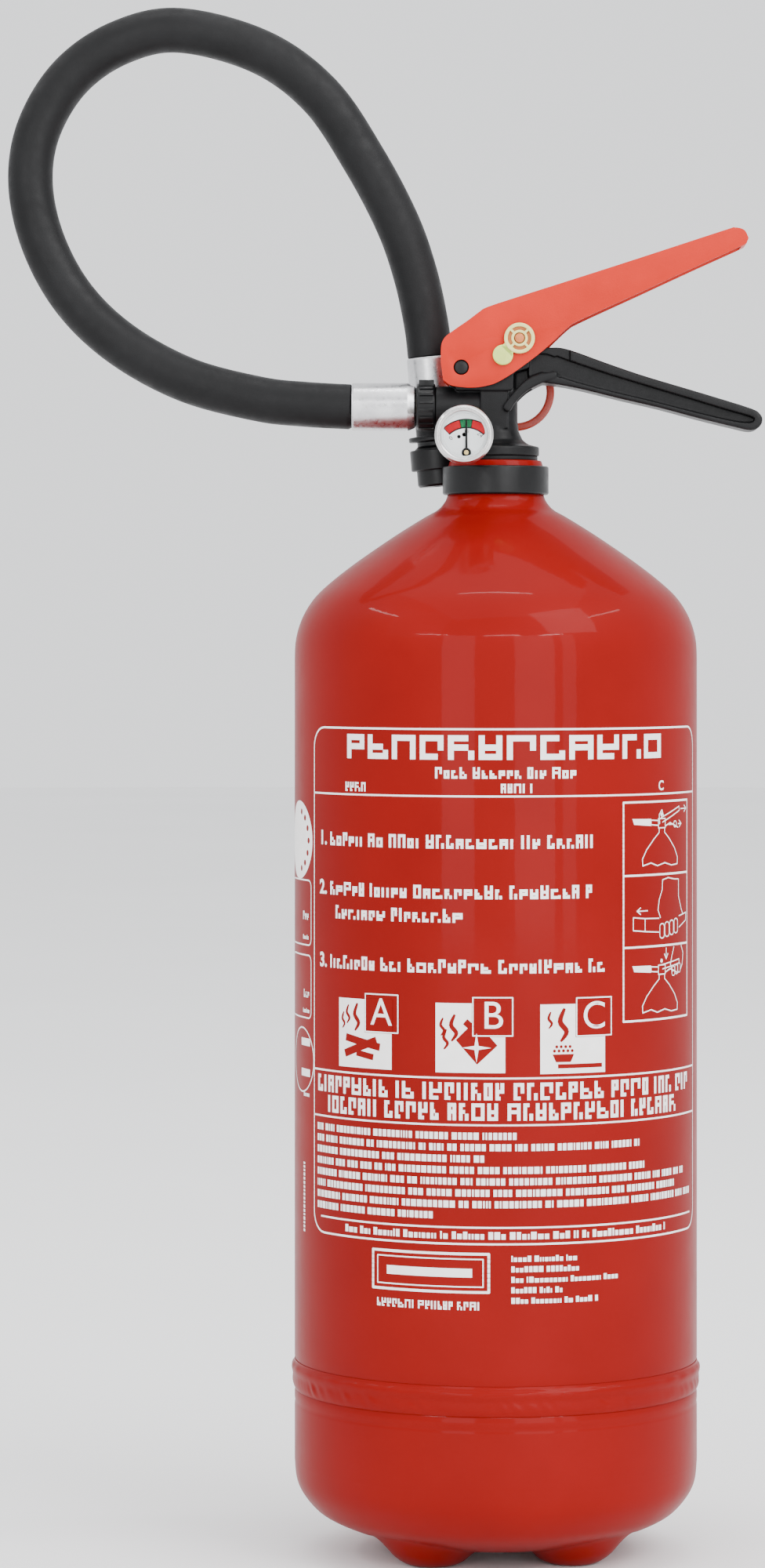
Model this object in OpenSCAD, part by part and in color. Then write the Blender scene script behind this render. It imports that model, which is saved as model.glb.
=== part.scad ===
// Stored-pressure powder fire extinguisher, standing on four pressed feet.
// +Z is up, the lever points along +X and the gauge faces -Y.
// Z = 0 is the floor and X = Y = 0 is the cylinder's axis.

/* [Cylinder] */
// Outside diameter of the cylinder
cyl_d = 160; // [140:1:190]
// Sheet thickness of shell and base
wall = 1.5; // [1:0.1:3]
// Height where the straight wall ends and the shoulder starts
shoulder_z = 355; // [300:1:420]
// Height of the weld that joins base and shell
seam_z = 71; // [50:1:90]
// Length of the weld bead along the axis
seam_h = 12; // [6:1:16]
// How far the weld bead stands out
seam_out = 1.2; // [0.5:0.1:2]
// Height of the settled powder inside
powder_top = 316; // [200:1:340]

/* [Feet] */
// Radius of the circle the feet stand on
foot_circle_r = 38.8; // [30:0.1:50]
// Angle of the first foot, measured from the front towards the lever side
foot_az = 50.2; // [0:0.1:90]
// Radius of the flat pad under a foot
foot_pad_r = 9; // [5:0.5:14]

/* [Neck] */
// Outside radius of the threaded neck boss
boss_r = 18.9; // [16:0.1:22]
// Height of the top of the neck boss
boss_top = 433.4; // [425:0.1:440]
// Outside radius of the collar round the boss
collar_r = 21.1; // [19:0.1:25]
// Height of the underside of the collar
collar_z = 419.8; // [415:0.1:425]
// Height of the collar
collar_h = 11.3; // [6:0.1:14]

/* [Valve] */
// Radius of the flange that closes the neck
flange_r = 17.3; // [15:0.1:20]
// Underside of the flange
flange_z = 435.1; // [434:0.1:438]
// Radius of the barrel
barrel_r = 8.7; // [8:0.1:12]
// Half width of the head that the lever straddles
head_half = 9.6; // [8:0.1:12]
// Height of the outlet's axis
outlet_z = 454.9; // [450:0.1:460]
// Outside radius of the outlet port
port_r = 8.2; // [7:0.1:10]

/* [Lever and handle] */
// Lever pivot, X
pivot_x = -13.6; // [-20:0.1:-8]
// Lever pivot, Z
pivot_z = 470.1; // [465:0.1:475]
// Half width of the lever channel
lever_half = 12; // [10:0.1:15]
// Sheet thickness of the lever
lever_t = 2; // [1.5:0.1:3]
// Travel of the lever when squeezed, degrees
lever_travel = 8; // [4:1:12]
// Half width of the carry handle
handle_half = 11; // [9:0.1:14]

/* [Safety pin] */
// Safety pin axis, X
pin_x = 9.45; // [5:0.05:12]
// Safety pin axis, Z
pin_z = 481.5; // [478:0.1:485]
// Radius of the safety pin
pin_r = 2; // [1.5:0.1:2.5]
// Mean radius of the pull ring
ring_r = 14; // [10:0.5:20]
// Radius of the pull ring's section
ring_wire_r = 1.5; // [1:0.1:2.5]
// Y of the plane the pull ring hangs in
ring_y = 20; // [16:0.5:26]
// X of the pull ring's eye
ring_x = 8; // [6:0.5:10]

/* [Gauge] */
// Gauge centre, X
gauge_x = -12.3; // [-16:0.1:-8]
// Gauge centre, Z
gauge_z = 442.3; // [438:0.1:446]
// Y of the front of the bezel
gauge_front = -45; // [-50:0.5:-35]
// Outside radius of the bezel
bezel_r = 11.5; // [10:0.1:16]
// Height of the needle's pivot below the gauge centre
needle_drop = 7; // [0:0.1:8]
// Length of the needle from its pivot
needle_len = 12.4; // [6:0.1:14]

/* [Hose] */
// Outside diameter of the hose
hose_d = 18; // [14:0.5:22]
// Bore diameter of the hose
hose_bore = 10.8; // [8:0.1:13]
// Outside radius of the crimp ferrules
ferrule_r = 9.5; // [9:0.1:12]
// X of the hose end of the outlet ferrule
ferrule_x = -57.2; // [-65:0.1:-50]
// Nozzle mouth, X
nozzle_x = -21.8; // [-26:0.1:-18]
// Y of the nozzle's axis
nozzle_y = 23; // [20:0.5:30]
// Nozzle mouth, Z
nozzle_z = 424; // [420:0.1:430]
// Lean of the nozzle towards the hose, degrees
nozzle_lean = 5; // [0:0.5:15]
// Distance from the nozzle mouth to the hose end of its ferrule
nozzle_len = 52; // [45:0.5:60]

/* [Hidden] */
$fn = 64;
eps = 0.05;       // play of a sliding fit
deep = 1;         // how far a cutter runs past a face
cyl_r = cyl_d / 2;
joggle = 0.7;     // the sheet steps in this far under the weld bead
groove_r = cyl_r - joggle;
bead_low = seam_z - seam_h / 2;
bead_top = seam_z + seam_h / 2;
tube_r = 8;       // siphon tube
tube_foot_z = 26;
spigot_r = 14.8;  // threaded part of the valve
spigot_z = 403;
chamber_z = 426;  // floor of the spring chamber
chamber_r = 7.5;
seat_z = 448;
seat_r = 5;
guide_z = 459;
stem_r = 2.95;
stem_top = 491.7;
head_z = 443.2;   // underside of the stem's head
port_end = -24;
nut_end = -31;
pivot_r = 2.75;
coil_r = 5.5;     // valve spring
coil_wire = 0.7;
coil_turns = 6;
foot_h = 6.5;
// base and shoulder as [r, z], drawn for a radius of 80 and a shoulder that starts at 355
base_shape = [
    [80, 37], [79.2, 29], [76.8, 24], [72.2, 18.4], [67.3, 15],
    [60, 11.8], [51.6, 9], [44.9, 7.4], [36, 6.8], [24, 8], [0, 12]
];
shoulder_shape = [
    [80, 355], [79.7, 361], [78.4, 367], [75.8, 373.2], [71.4, 379.6],
    [64.7, 385.8], [56.6, 392.1], [47.8, 398.3], [38.4, 404.6],
    [28.4, 410.8], [23, 413.9], [20.2, 417.1], [19.1, 419.6]
];
// upper and lower edge of the lever, left to right, as [x, z]
lever_top = [
    [-21.6, 478], [-21, 480.2], [-18.3, 483.5], [-10.6, 488.9], [-6.5, 492],
    [-3.3, 493.9], [8.5, 497.8], [28.4, 504.1], [55.6, 512.8], [90, 524],
    [94.5, 525.2], [98, 523.6], [100, 521]
];
lever_low = [
    [-21.6, 466.2], [-17.8, 463], [-13, 462.2], [-7.9, 462.1], [-3, 462.9],
    [1.2, 464.4], [8.5, 468.9], [19.3, 477.1], [28.4, 485.6], [33.8, 488.9],
    [55.6, 498.9], [78.3, 509.4], [95.6, 517.2], [100, 519.6]
];
lever_stations = [
    -21.6, -21, -19.6, -17.8, -15, -10.6, -6.5, -3, 1.2, 8.5, 14,
    19.3, 28.4, 33.8, 44, 55.6, 66, 78.3, 88, 94.5, 97, 98.8
];
// outline of the carry handle, along the top, round the tip and back along the underside
handle_outline = [
    [13.6, 479], [20.5, 478], [25.7, 477.9], [31.8, 476.2], [42.2, 472.4],
    [57.2, 467.2], [72.1, 462.7], [87.1, 458.2], [101.3, 453.7], [104.6, 451.6],
    [105.6, 449.4], [104.6, 446.7], [101.3, 445], [94.6, 446.3], [79.6, 450],
    [64.7, 454], [49.7, 457.5], [34.7, 461.2], [25.7, 463], [18.4, 463.8], [13.6, 463]
];
handle_recess = [
    [23.5, 474.3], [25.7, 474.2], [30, 472.6], [43.2, 468.1], [60.4, 462.8],
    [75.5, 458.3], [91.6, 453.4], [100.2, 451], [102.6, 449.5], [100.2, 447.8],
    [91.6, 449.1], [75.5, 453], [60.4, 456.9], [46.5, 460.2], [32.5, 463.9], [26, 466], [23.5, 466.6]
];
// shallow recess that carries on to the valve's head
root_recess = [
    [13.2, 466.3], [18.4, 468.1], [24.3, 467.4], [24.3, 474], [20.5, 475.2], [13.2, 475.2]
];
// lug that closes the gap to the valve's barrel
web_lug = [[14, 463], [12.3, 460.9], [8.9, 460.9], [8.9, 468.4], [13.4, 469.8], [14, 470]];
handle_leg = [
    [21, 465], [18.4, 463.8], [12.3, 460.5], [7.8, 456], [6, 453], [4.4, 452.4], [3.2, 453.2],
    [3, 454.9], [7, 460.1], [12.3, 465.4], [18.4, 467.6], [21, 468]
];
// centreline of the hose from the outlet ferrule round the loop to the nozzle ferrule
hose_route = [
    [-76, 0, 456], [-94.5, 1, 458.2], [-123.5, 2, 466], [-149.8, 4, 480.5],
    [-169, 6, 499], [-181.5, 8, 522], [-186.5, 10, 546], [-183, 12, 568],
    [-170.5, 14, 588.5], [-151, 15, 602], [-127, 16, 607], [-94.5, 18, 598.5],
    [-70.5, 19, 581], [-52.8, 20, 555], [-39.6, 21.5, 530], [-32.4, 22.3, 509.5],
    [-28.1, 22.9, 490]
];
web_half = 4;     // half thickness of the lug on the handle's root
cheek_half = 7.5; // half width of the handle between its recesses
leg_in = 9;       // the handle's hooked legs start this far from the middle
rivet_x = 16.2;
rivet_z = 476.2;
rivet_r = 1.6;
route_steps = 4;
hose_sides = 12;
crimp_r = 8.3;    // hose squeezed inside a ferrule
hose_in = 23;     // length of hose inside a ferrule
nozzle_dir = [-sin(nozzle_lean), 0, cos(nozzle_lean)];
nozzle_mouth = [nozzle_x, nozzle_y, nozzle_z];
needle_x = gauge_x + 0.9;
needle_z = gauge_z - needle_drop;

// point of a Catmull-Rom curve through p[i] and p[i + 1]
function knot(p, i) = p[max(0, min(len(p) - 1, i))];
function crom(p, i, t) =
    let (a = knot(p, i - 1), b = knot(p, i), c = knot(p, i + 1), d = knot(p, i + 2))
    0.5 * (2 * b + (c - a) * t + (2 * a - 5 * b + 4 * c - d) * t * t + (3 * b - a - 3 * c + d) * t * t * t);
function smooth_curve(p, n) = [
    for (i = [0 : len(p) - 2]) for (k = [0 : n - 1]) crom(p, i, k / n),
    p[len(p) - 1]
];
function unit(v) = v / norm(v);
// the shoulder fitted to the cylinder's radius and to the height where it starts
function fit_shoulder(p) =
    let (end = shoulder_shape[len(shoulder_shape) - 1], start = shoulder_shape[0])
    [end[0] + (p[0] - end[0]) * (cyl_r - end[0]) / (start[0] - end[0]),
     shoulder_z + (p[1] - start[1]) * (end[1] - shoulder_z) / (end[1] - start[1])];
function fit_base(p) = [p[0] * cyl_r / base_shape[0][0], p[1]];
// a profile moved sideways by d, to the left of its direction
function side_step(p, d) = [
    for (i = [0 : len(p) - 1])
        let (v = unit(knot(p, i + 1) - knot(p, i - 1))) p[i] + d * [-v[1], v[0]]
];
function reversed(p) = [for (i = [len(p) - 1 : -1 : 0]) p[i]];
function arc_points(c, r, a0, a1, n) = [
    for (i = [0 : n]) let (a = a0 + (a1 - a0) * i / n) c + r * [cos(a), sin(a)]
];

// faces of a tube of rings of m points each, closed by flat ends
function skin(rings, m) = concat(
    [for (i = [0 : rings - 2]) for (j = [0 : m - 1])
        [i * m + j, i * m + (j + 1) % m, (i + 1) * m + (j + 1) % m, (i + 1) * m + j]],
    [[for (j = [m - 1 : -1 : 0]) j]],
    [[for (j = [0 : m - 1]) (rings - 1) * m + j]]
);

// a ring profile with bevelled edges, from z0 to z1
module ring(r_out, r_in, z0, z1, bevel) {
    rotate_extrude()
        polygon([
            [r_in, z0], [r_out - bevel, z0], [r_out - bevel * 0.3, z0 + bevel * 0.3],
            [r_out, z0 + bevel], [r_out, z1 - bevel],
            [r_out - bevel * 0.3, z1 - bevel * 0.3], [r_out - bevel, z1], [r_in, z1]
        ]);
}

// a cylinder along +Y from y0 to y1
module rod_y(r, x, z, y0, y1) {
    translate([x, y0, z])
        rotate([-90, 0, 0])
            cylinder(r = r, h = y1 - y0);
}

// a cylinder along +X from x0 to x1
module rod_x(r, y, z, x0, x1) {
    translate([x0, y, z])
        rotate([0, 90, 0])
            cylinder(r = r, h = x1 - x0);
}

// a side outline given as [x, z], from y0 to y1
module side_plate(points, y0, y1) {
    translate([0, y1, 0])
        rotate([90, 0, 0])
            linear_extrude(height = y1 - y0)
                polygon(points);
}

module cylinder_shell() {
    outer = smooth_curve([for (p = shoulder_shape) fit_shoulder(p)], 2);
    inner = side_step(outer, wall);
    color("firebrick")
        difference() {
            rotate_extrude($fn = 96)
                polygon(concat(
                    [[groove_r, seam_z], [groove_r, bead_top], [cyl_r, bead_top + joggle]],
                    outer, reversed(inner), [[cyl_r - wall, seam_z]]
                ));
            translate([0, 0, shoulder_z])
                cylinder(r = boss_r, h = boss_top);
        }
}

module foot_form(shrink, top) {
    rotate_extrude()
        polygon([
            [0, shrink], [foot_pad_r - shrink, shrink], [12.5 - shrink, 1 + shrink],
            [15.2 - shrink, 3 + shrink], [17 - shrink, foot_h + shrink / 2],
            [17 - shrink, top], [0, top]
        ]);
}

// one piece under each of the four feet
module at_feet() {
    for (k = [0 : 3])
        rotate([0, 0, foot_az + 90 * k])
            translate([0, -foot_circle_r, 0])
                children();
}

module cylinder_base() {
    outer = reversed([for (p = base_shape) fit_base(p)]);
    inner = side_step(outer, wall);
    lip_r = cyl_r - wall - eps;
    color("firebrick")
        difference() {
            rotate_extrude($fn = 96)
                polygon(concat(
                    outer, [[cyl_r, bead_low - joggle], [groove_r, bead_low]],
                    [[groove_r, seam_z], [lip_r, seam_z], [lip_r, seam_z + 8],
                    [lip_r - 1.3, seam_z + 8], [lip_r - 1.3, seam_z - 9], [cyl_r - wall, seam_z - 11]],
                    reversed([for (p = inner) [max(0, p[0]), p[1]]])
                ));
            at_feet()
                foot_form(wall, foot_h + 5);
        }
}

// the feet, pressed out of the base's sheet
module base_feet() {
    outer = reversed([for (p = base_shape) fit_base(p)]);
    color("firebrick")
        difference() {
            at_feet()
                foot_form(0, foot_h + 0.5);
            at_feet()
                foot_form(wall, foot_h + 5);
            // everything above the underside of the dish
            rotate_extrude($fn = 96)
                polygon(concat([for (p = outer) p - [0, eps]], [[0, base_shape[0][1] - eps]]));
        }
}

module seam_weld() {
    half = seam_h / 2;
    color("firebrick")
        rotate_extrude($fn = 96)
            polygon([
                [groove_r + eps, bead_low], [cyl_r, bead_low], [cyl_r + 0.35 * seam_out, seam_z - 0.8 * half],
                [cyl_r + 0.85 * seam_out, seam_z - 0.4 * half], [cyl_r + seam_out, seam_z],
                [cyl_r + 0.85 * seam_out, seam_z + 0.4 * half],
                [cyl_r + 0.35 * seam_out, seam_z + 0.8 * half], [cyl_r, bead_top],
                [groove_r + eps, bead_top]
            ]);
}

module powder_charge() {
    powder_r = cyl_r - 3.2;
    color("lightyellow")
        rotate_extrude()
            polygon([
                [tube_r + 0.3, 22], [60, 22], [70, 28], [powder_r - 1, 40], [powder_r, 48],
                [powder_r, powder_top], [tube_r + 0.3, powder_top]
            ]);
}

module neck_boss() {
    color("firebrick")
        rotate_extrude()
            polygon([
                [spigot_r + eps, spigot_z + 5], [boss_r, spigot_z + 5], [boss_r, boss_top - 2.4],
                [boss_r - 0.9, boss_top], [spigot_r + eps, boss_top]
            ]);
}

module neck_collar() {
    color([0.08, 0.08, 0.09])
        ring(collar_r, boss_r + eps, collar_z, collar_z + collar_h, 0.9);
}

module neck_gasket() {
    color([0.05, 0.05, 0.05])
        ring(16.7, spigot_r + eps, boss_top, flange_z, 0.3);
}

// the head that the lever straddles, seen from the side
module valve_head() {
    side_plate([
        [-16, 461], [7, 461], [7, 468], [13.5, 470], [13.5, 484.5],
        [11.5, 486], [-7, 485], [-13.6, 478.1]
    ], -head_half, head_half);
    rod_y(8, pivot_x, pivot_z, -head_half, head_half);
    side_plate([[13, 471], [21, 471], [21, 477], [13, 478.5]], -3.95, 3.95);
}

module valve_body() {
    color([0.1, 0.1, 0.11])
        difference() {
            union() {
                rotate_extrude()
                    polygon([
                        [0, spigot_z], [spigot_r - 0.8, spigot_z], [spigot_r, spigot_z + 0.8],
                        [spigot_r, flange_z], [flange_r - 0.3, flange_z], [flange_r, flange_z + 0.4],
                        [flange_r, flange_z + 3.3], [flange_r - 0.4, flange_z + 3.7],
                        [13.4, flange_z + 4.7], [11.2, flange_z + 6], [9.6, flange_z + 8.2],
                        [barrel_r, flange_z + 11], [barrel_r, pivot_z], [0, pivot_z]
                    ]);
                valve_head();
                rod_x(port_r, 0, outlet_z, port_end, 0);
                translate([-6, -leg_in + 0.1, 446])
                    cube([11, leg_in, 15]);
                rod_y(5.5, gauge_x, gauge_z, -26, 0);
            }
            translate([0, 0, spigot_z - deep])
                cylinder(r = 11, h = chamber_z - spigot_z + deep);
            translate([0, 0, chamber_z - deep])
                cylinder(r = chamber_r, h = seat_z - chamber_z + deep);
            translate([0, 0, seat_z - deep])
                cylinder(r = seat_r, h = guide_z - seat_z + deep);
            translate([0, 0, guide_z - deep])
                cylinder(r = stem_r + 0.07, h = stem_top - guide_z);
            rod_x(seat_r, 0, outlet_z, port_end - deep, 0);
            rod_y(pivot_r + eps, pivot_x, pivot_z, -head_half - deep, head_half + deep);
            rod_y(pin_r + 0.07, pin_x, pin_z, -head_half - deep, head_half + deep);
            rod_y(rivet_r + eps, rivet_x, rivet_z, -head_half, head_half);
            rod_y(4, gauge_x, gauge_z, -26 - deep, -4);
            rod_x(1.5, -5.6, gauge_z, gauge_x, 0);
        }
}

module spring_retainer() {
    color([0.85, 0.85, 0.8])
        rotate_extrude()
            polygon([
                [tube_r + eps, spigot_z], [11 - eps, spigot_z], [11 - eps, chamber_z - eps],
                [4, chamber_z - eps], [4, chamber_z - 6], [tube_r + eps, chamber_z - 6]
            ]);
}

module siphon_tube() {
    color([0.9, 0.9, 0.88])
        difference() {
            translate([0, 0, tube_foot_z])
                cylinder(r = tube_r, h = chamber_z - 6 - tube_foot_z);
            translate([0, 0, tube_foot_z - deep])
                cylinder(r = tube_r - 1.2, h = chamber_z);
            translate([-tube_r - deep, 0, tube_foot_z - deep])
                rotate([0, 30, 0])
                    cube([4, 4 * tube_r, 10], center = true);
        }
}

module valve_spring() {
    turn_rings = 10;
    sides = 6;
    rings = coil_turns * turn_rings;
    z0 = chamber_z + coil_wire + eps;
    rise = head_z - chamber_z - 2 * coil_wire - 4 * eps;
    points = [
        for (i = [0 : rings]) for (j = [0 : sides - 1])
            let (a = 360 * i / turn_rings, b = 360 * j / sides, r = coil_r + coil_wire * cos(b))
            [r * cos(a), r * sin(a), z0 + rise * i / rings + coil_wire * sin(b)]
    ];
    color("silver")
        polyhedron(points = points, faces = skin(rings + 1, sides), convexity = 10);
}

module valve_stem() {
    color([0.8, 0.7, 0.4])
        rotate_extrude()
            polygon([
                [0, head_z], [6.5, head_z], [6.5, head_z + 2.8], [stem_r, head_z + 2.8],
                [stem_r, 465.2], [1.8, 465.2], [1.8, 466.8], [stem_r, 466.8],
                [stem_r, stem_top - 3], [2.4, stem_top - 1.2], [1.2, stem_top], [0, stem_top]
            ]);
}

module stem_seal() {
    color([0.08, 0.08, 0.08])
        ring(6.8, stem_r + eps, head_z + 2.8, seat_z - eps, 0.3);
}

module stem_o_ring() {
    color([0.06, 0.06, 0.06])
        translate([0, 0, 466])
            rotate_extrude()
                translate([2.4, 0])
                    circle(r = 0.58, $fn = 24);
}

// one U-shaped section of the lever at x: outside down to zb, top at zt
function lever_section(x, zb, zt) =
    let (w = lever_half, r = min(3.2, (zt - zb) / 2), q = max(0.4, r - lever_t), t = lever_t)
    [for (p = concat(
        [[-w, zb]],
        arc_points([-w + r, zt - r], r, 180, 90, 3),
        arc_points([w - r, zt - r], r, 90, 0, 3),
        [[w, zb], [w - t, zb]],
        arc_points([w - t - q, zt - t - q], q, 0, 90, 3),
        arc_points([-w + t + q, zt - t - q], q, 90, 180, 3),
        [[-w + t, zb]]
    )) [x, p[0], p[1]]];

module operating_lever() {
    sections = [
        for (x = lever_stations)
            let (zb = lookup(x, lever_low), zt = lookup(x, lever_top))
            lever_section(x, min(zb, zt - 3.6), zt)
    ];
    points = [for (s = sections) for (p = s) p];
    n = len(sections);
    m = len(sections[0]);
    faces = concat(
        [for (i = [0 : n - 2]) for (j = [0 : m - 1])
            [i * m + j, i * m + (j + 1) % m, (i + 1) * m + (j + 1) % m, (i + 1) * m + j]],
        [for (j = [0 : m / 2 - 2]) [j + 1, j, m - 1 - j, m - 2 - j]],
        [for (j = [0 : m / 2 - 2]) (n - 1) * m * [1, 1, 1, 1] + [j, j + 1, m - 2 - j, m - 1 - j]]
    );
    reach = norm([pin_x - pivot_x, pin_z - pivot_z]);
    aim = atan2(pin_z - pivot_z, pin_x - pivot_x);
    slot_r = pin_r + 0.15;
    color("orangered")
        difference() {
            polyhedron(points = points, faces = faces, convexity = 6);
            rod_y(pivot_r + 0.07, pivot_x, pivot_z, -20, 20);
            translate([pivot_x, -lever_half, pivot_z])
                rotate([90, 0, 0])
                    cylinder(r1 = pivot_r + 0.07, r2 = pivot_r + 1.6, h = 1, center = true);
            // the pin's hole runs on as a short slot, so that the lever can be moved with the pin in
            for (a = [0, lever_travel])
                translate([pivot_x, 0, pivot_z])
                    rotate([0, -aim - a, 0])
                        rod_y(slot_r, reach, 0, -20, 20);
            translate([pivot_x, 0, pivot_z])
                rotate([90, 0, 0])
                    rotate([0, 0, aim])
                        rotate_extrude(angle = lever_travel)
                            translate([reach - slot_r, -20])
                                square([2 * slot_r, 40]);
        }
}

module lever_pivot_pin() {
    color([0.1, 0.1, 0.1])
        rod_y(pivot_r, pivot_x, pivot_z, -lever_half + 0.4, lever_half - 0.4);
}

module carry_handle() {
    color([0.09, 0.09, 0.1])
        difference() {
            union() {
                side_plate(handle_outline, -handle_half, handle_half);
                side_plate(web_lug, -web_half, web_half);
                side_plate(handle_leg, -handle_half - 0.6, -leg_in);
                side_plate(handle_leg, leg_in, handle_half + 0.6);
            }
            // the shallow recess on both sides
            side_plate(handle_recess, -handle_half - deep, -cheek_half);
            side_plate(handle_recess, cheek_half, handle_half + deep);
            side_plate(root_recess, -handle_half - 2 * deep, -cheek_half);
            side_plate(root_recess, cheek_half, handle_half + 2 * deep);
            // room for the lever's cheeks at the end of their travel
            for (y = [-handle_half - deep, head_half])
                translate([13, y, 468.4])
                    cube([16.5, handle_half + deep - head_half, 13]);
            // the valve's tongue
            translate([13, -4, 470.9])
                cube([8.1, 8, 12]);
            rod_y(rivet_r, rivet_x, rivet_z, -handle_half - deep, handle_half + deep);
        }
}

module handle_rivet() {
    color("dimgray")
        rod_y(rivet_r, rivet_x, rivet_z, -cheek_half, cheek_half);
}

module safety_pin() {
    color("peru")
        difference() {
            union() {
                rod_y(pin_r, pin_x, pin_z, -14.8, ring_y - 2);
                rod_y(3.6, pin_x, pin_z, 12.8, 14.4);
                // the eye that carries the ring
                translate([ring_x - 1.5, 0, 0])
                    rotate([90, 0, 90])
                        linear_extrude(height = 3.4)
                            polygon([
                                [ring_y - 4.6, pin_z + 2], [ring_y - 1, pin_z + 2], [ring_y + 3.9, 476],
                                [ring_y + 2.4, 472.4], [ring_y - 2.4, 472.4], [ring_y - 3.9, 476]
                            ]);
            }
            rod_x(ring_wire_r + 0.5, ring_y, 475.6, ring_x - 4, ring_x + 4);
        }
}

module pull_ring() {
    color("firebrick")
        translate([ring_x, ring_y, 475.6 - ring_r])
            rotate([90, 0, 0])
                rotate_extrude()
                    translate([ring_r, 0])
                        circle(r = ring_wire_r, $fn = 24);
}

module tamper_seal() {
    front = -lever_half - 2.2;
    back = -lever_half - 0.2;
    color("khaki")
        difference() {
            union() {
                rod_y(6.1, pin_x, pin_z, front, back);
                rod_y(4.05, pin_x - 6.7, pin_z - 6.5, front + 0.5, back);
                translate([pin_x, 0, pin_z])
                    rotate([0, 45, 0])
                        translate([-7, front + 0.5, -2.4])
                            cube([3, 1.5, 4.8]);
            }
            rod_y(pin_r + 0.2, pin_x, pin_z, front - deep, back + deep);
            // four arc slots between the ribs
            difference() {
                rod_y(4.65, pin_x, pin_z, front - deep, back + deep);
                rod_y(3.27, pin_x, pin_z, front - 2 * deep, back + 2 * deep);
                for (a = [45, 135])
                    translate([pin_x, 0, pin_z])
                        rotate([0, a, 0])
                            translate([-10, -20, -0.5])
                                cube([20, 10, 1]);
            }
        }
}

module gauge_stem() {
    color([0.8, 0.65, 0.35])
        difference() {
            union() {
                rod_y(3.95, gauge_x, gauge_z, -26, -12);
                translate([gauge_x, -30.5, gauge_z])
                    rotate([-90, 0, 0])
                        cylinder(r = 6, h = 4.5, $fn = 6);
            }
            rod_y(1.2, gauge_x, gauge_z, -30.5 - deep, -12 + deep);
        }
}

module gauge_case() {
    color("silver")
        difference() {
            rod_y(bezel_r - 0.6, gauge_x, gauge_z, gauge_front + 1.8, -30.5);
            rod_y(bezel_r - 1.5, gauge_x, gauge_z, gauge_front, -31.5);
            rod_y(1.2, gauge_x, gauge_z, -33, -30);
        }
}

module gauge_bezel() {
    color("silver")
        translate([gauge_x, gauge_front, gauge_z])
            rotate([-90, 0, 0])
                rotate_extrude()
                    polygon([
                        [9.2, 0.3], [9.5, 0], [10.4, 0], [11.1, 0.4], [bezel_r, 1.2], [bezel_r, 4.5],
                        [bezel_r - 0.55, 4.5], [bezel_r - 0.55, 0.8], [9.2, 0.8]
                    ]);
}

module gauge_dial() {
    color("white")
        difference() {
            rod_y(bezel_r - 1.52, gauge_x, gauge_z, gauge_front + 3, gauge_front + 3.5);
            rod_y(0.8, needle_x, needle_z, gauge_front, gauge_front + 5);
        }
}

module gauge_glass() {
    color([0.8, 0.9, 0.9, 0.3])
        rod_y(bezel_r - 0.6, gauge_x, gauge_z, gauge_front + 0.85, gauge_front + 1.75);
}

module gauge_coil() {
    color("goldenrod")
        translate([gauge_x, -34.5, gauge_z])
            rotate([90, 0, 0])
                rotate_extrude()
                    translate([5.6, 0])
                        circle(r = 1, $fn = 20);
}

module gauge_needle() {
    half = 0.3;
    color("black") {
        rod_y(1.8, needle_x, needle_z, gauge_front + 2.05, gauge_front + 2.7);
        rod_y(0.7, needle_x, needle_z, gauge_front + 2.5, -39);
        side_plate([
            [needle_x - half, needle_z], [needle_x + half, needle_z],
            [needle_x + half * 0.6, needle_z + needle_len], [needle_x - half * 0.6, needle_z + needle_len]
        ], gauge_front + 2.2, gauge_front + 2.5);
    }
}

module outlet_nut() {
    color([0.07, 0.07, 0.08])
        difference() {
            union() {
                rod_x(9.3, 0, outlet_z, nut_end, port_end);
                for (k = [0 : 17])
                    translate([nut_end, 0, outlet_z])
                        rotate([20 * k, 0, 0])
                            translate([0.6, -0.7, 8.8])
                                cube([port_end - nut_end - 1.2, 1.4, 1]);
                translate([nut_end + 0.4, -4, outlet_z + 8])
                    cube([port_end - nut_end - 0.8, 3.4, 2.5]);
            }
            rod_x(4.95, 0, outlet_z, nut_end - deep, port_end + deep);
        }
}

// a barbed spigot along +Z from 0 to h
module barbs(h) {
    rotate_extrude()
        polygon([
            [3.4, 0], [4.9, 0], [4.9, h - 20], [5.3, h - 20], [4.7, h - 14], [5.3, h - 14],
            [4.7, h - 8], [5.3, h - 8], [4.6, h], [3.4, h]
        ]);
}

module outlet_tail() {
    color([0.8, 0.68, 0.38])
        translate([port_end + 8, 0, outlet_z])
            rotate([0, -90, 0])
                barbs(40);
}

// a crimped sleeve along +Z from 0 to h
module sleeve(h) {
    rotate_extrude()
        polygon([
            [5.4, 0], [7.6, 0], [8.6, 0.8], [ferrule_r - 0.2, 2.4], [ferrule_r, 3.2],
            [ferrule_r, h - 0.9], [ferrule_r - 0.35, h - 0.2], [ferrule_r - 0.8, h],
            [crimp_r + eps, h], [crimp_r + eps, 2], [5.4, 2]
        ]);
}

module outlet_ferrule() {
    color("silver")
        translate([nut_end - 0.6, 0, outlet_z])
            rotate([0, -90, 0])
                sleeve(nut_end - 0.6 - ferrule_x);
}

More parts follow.
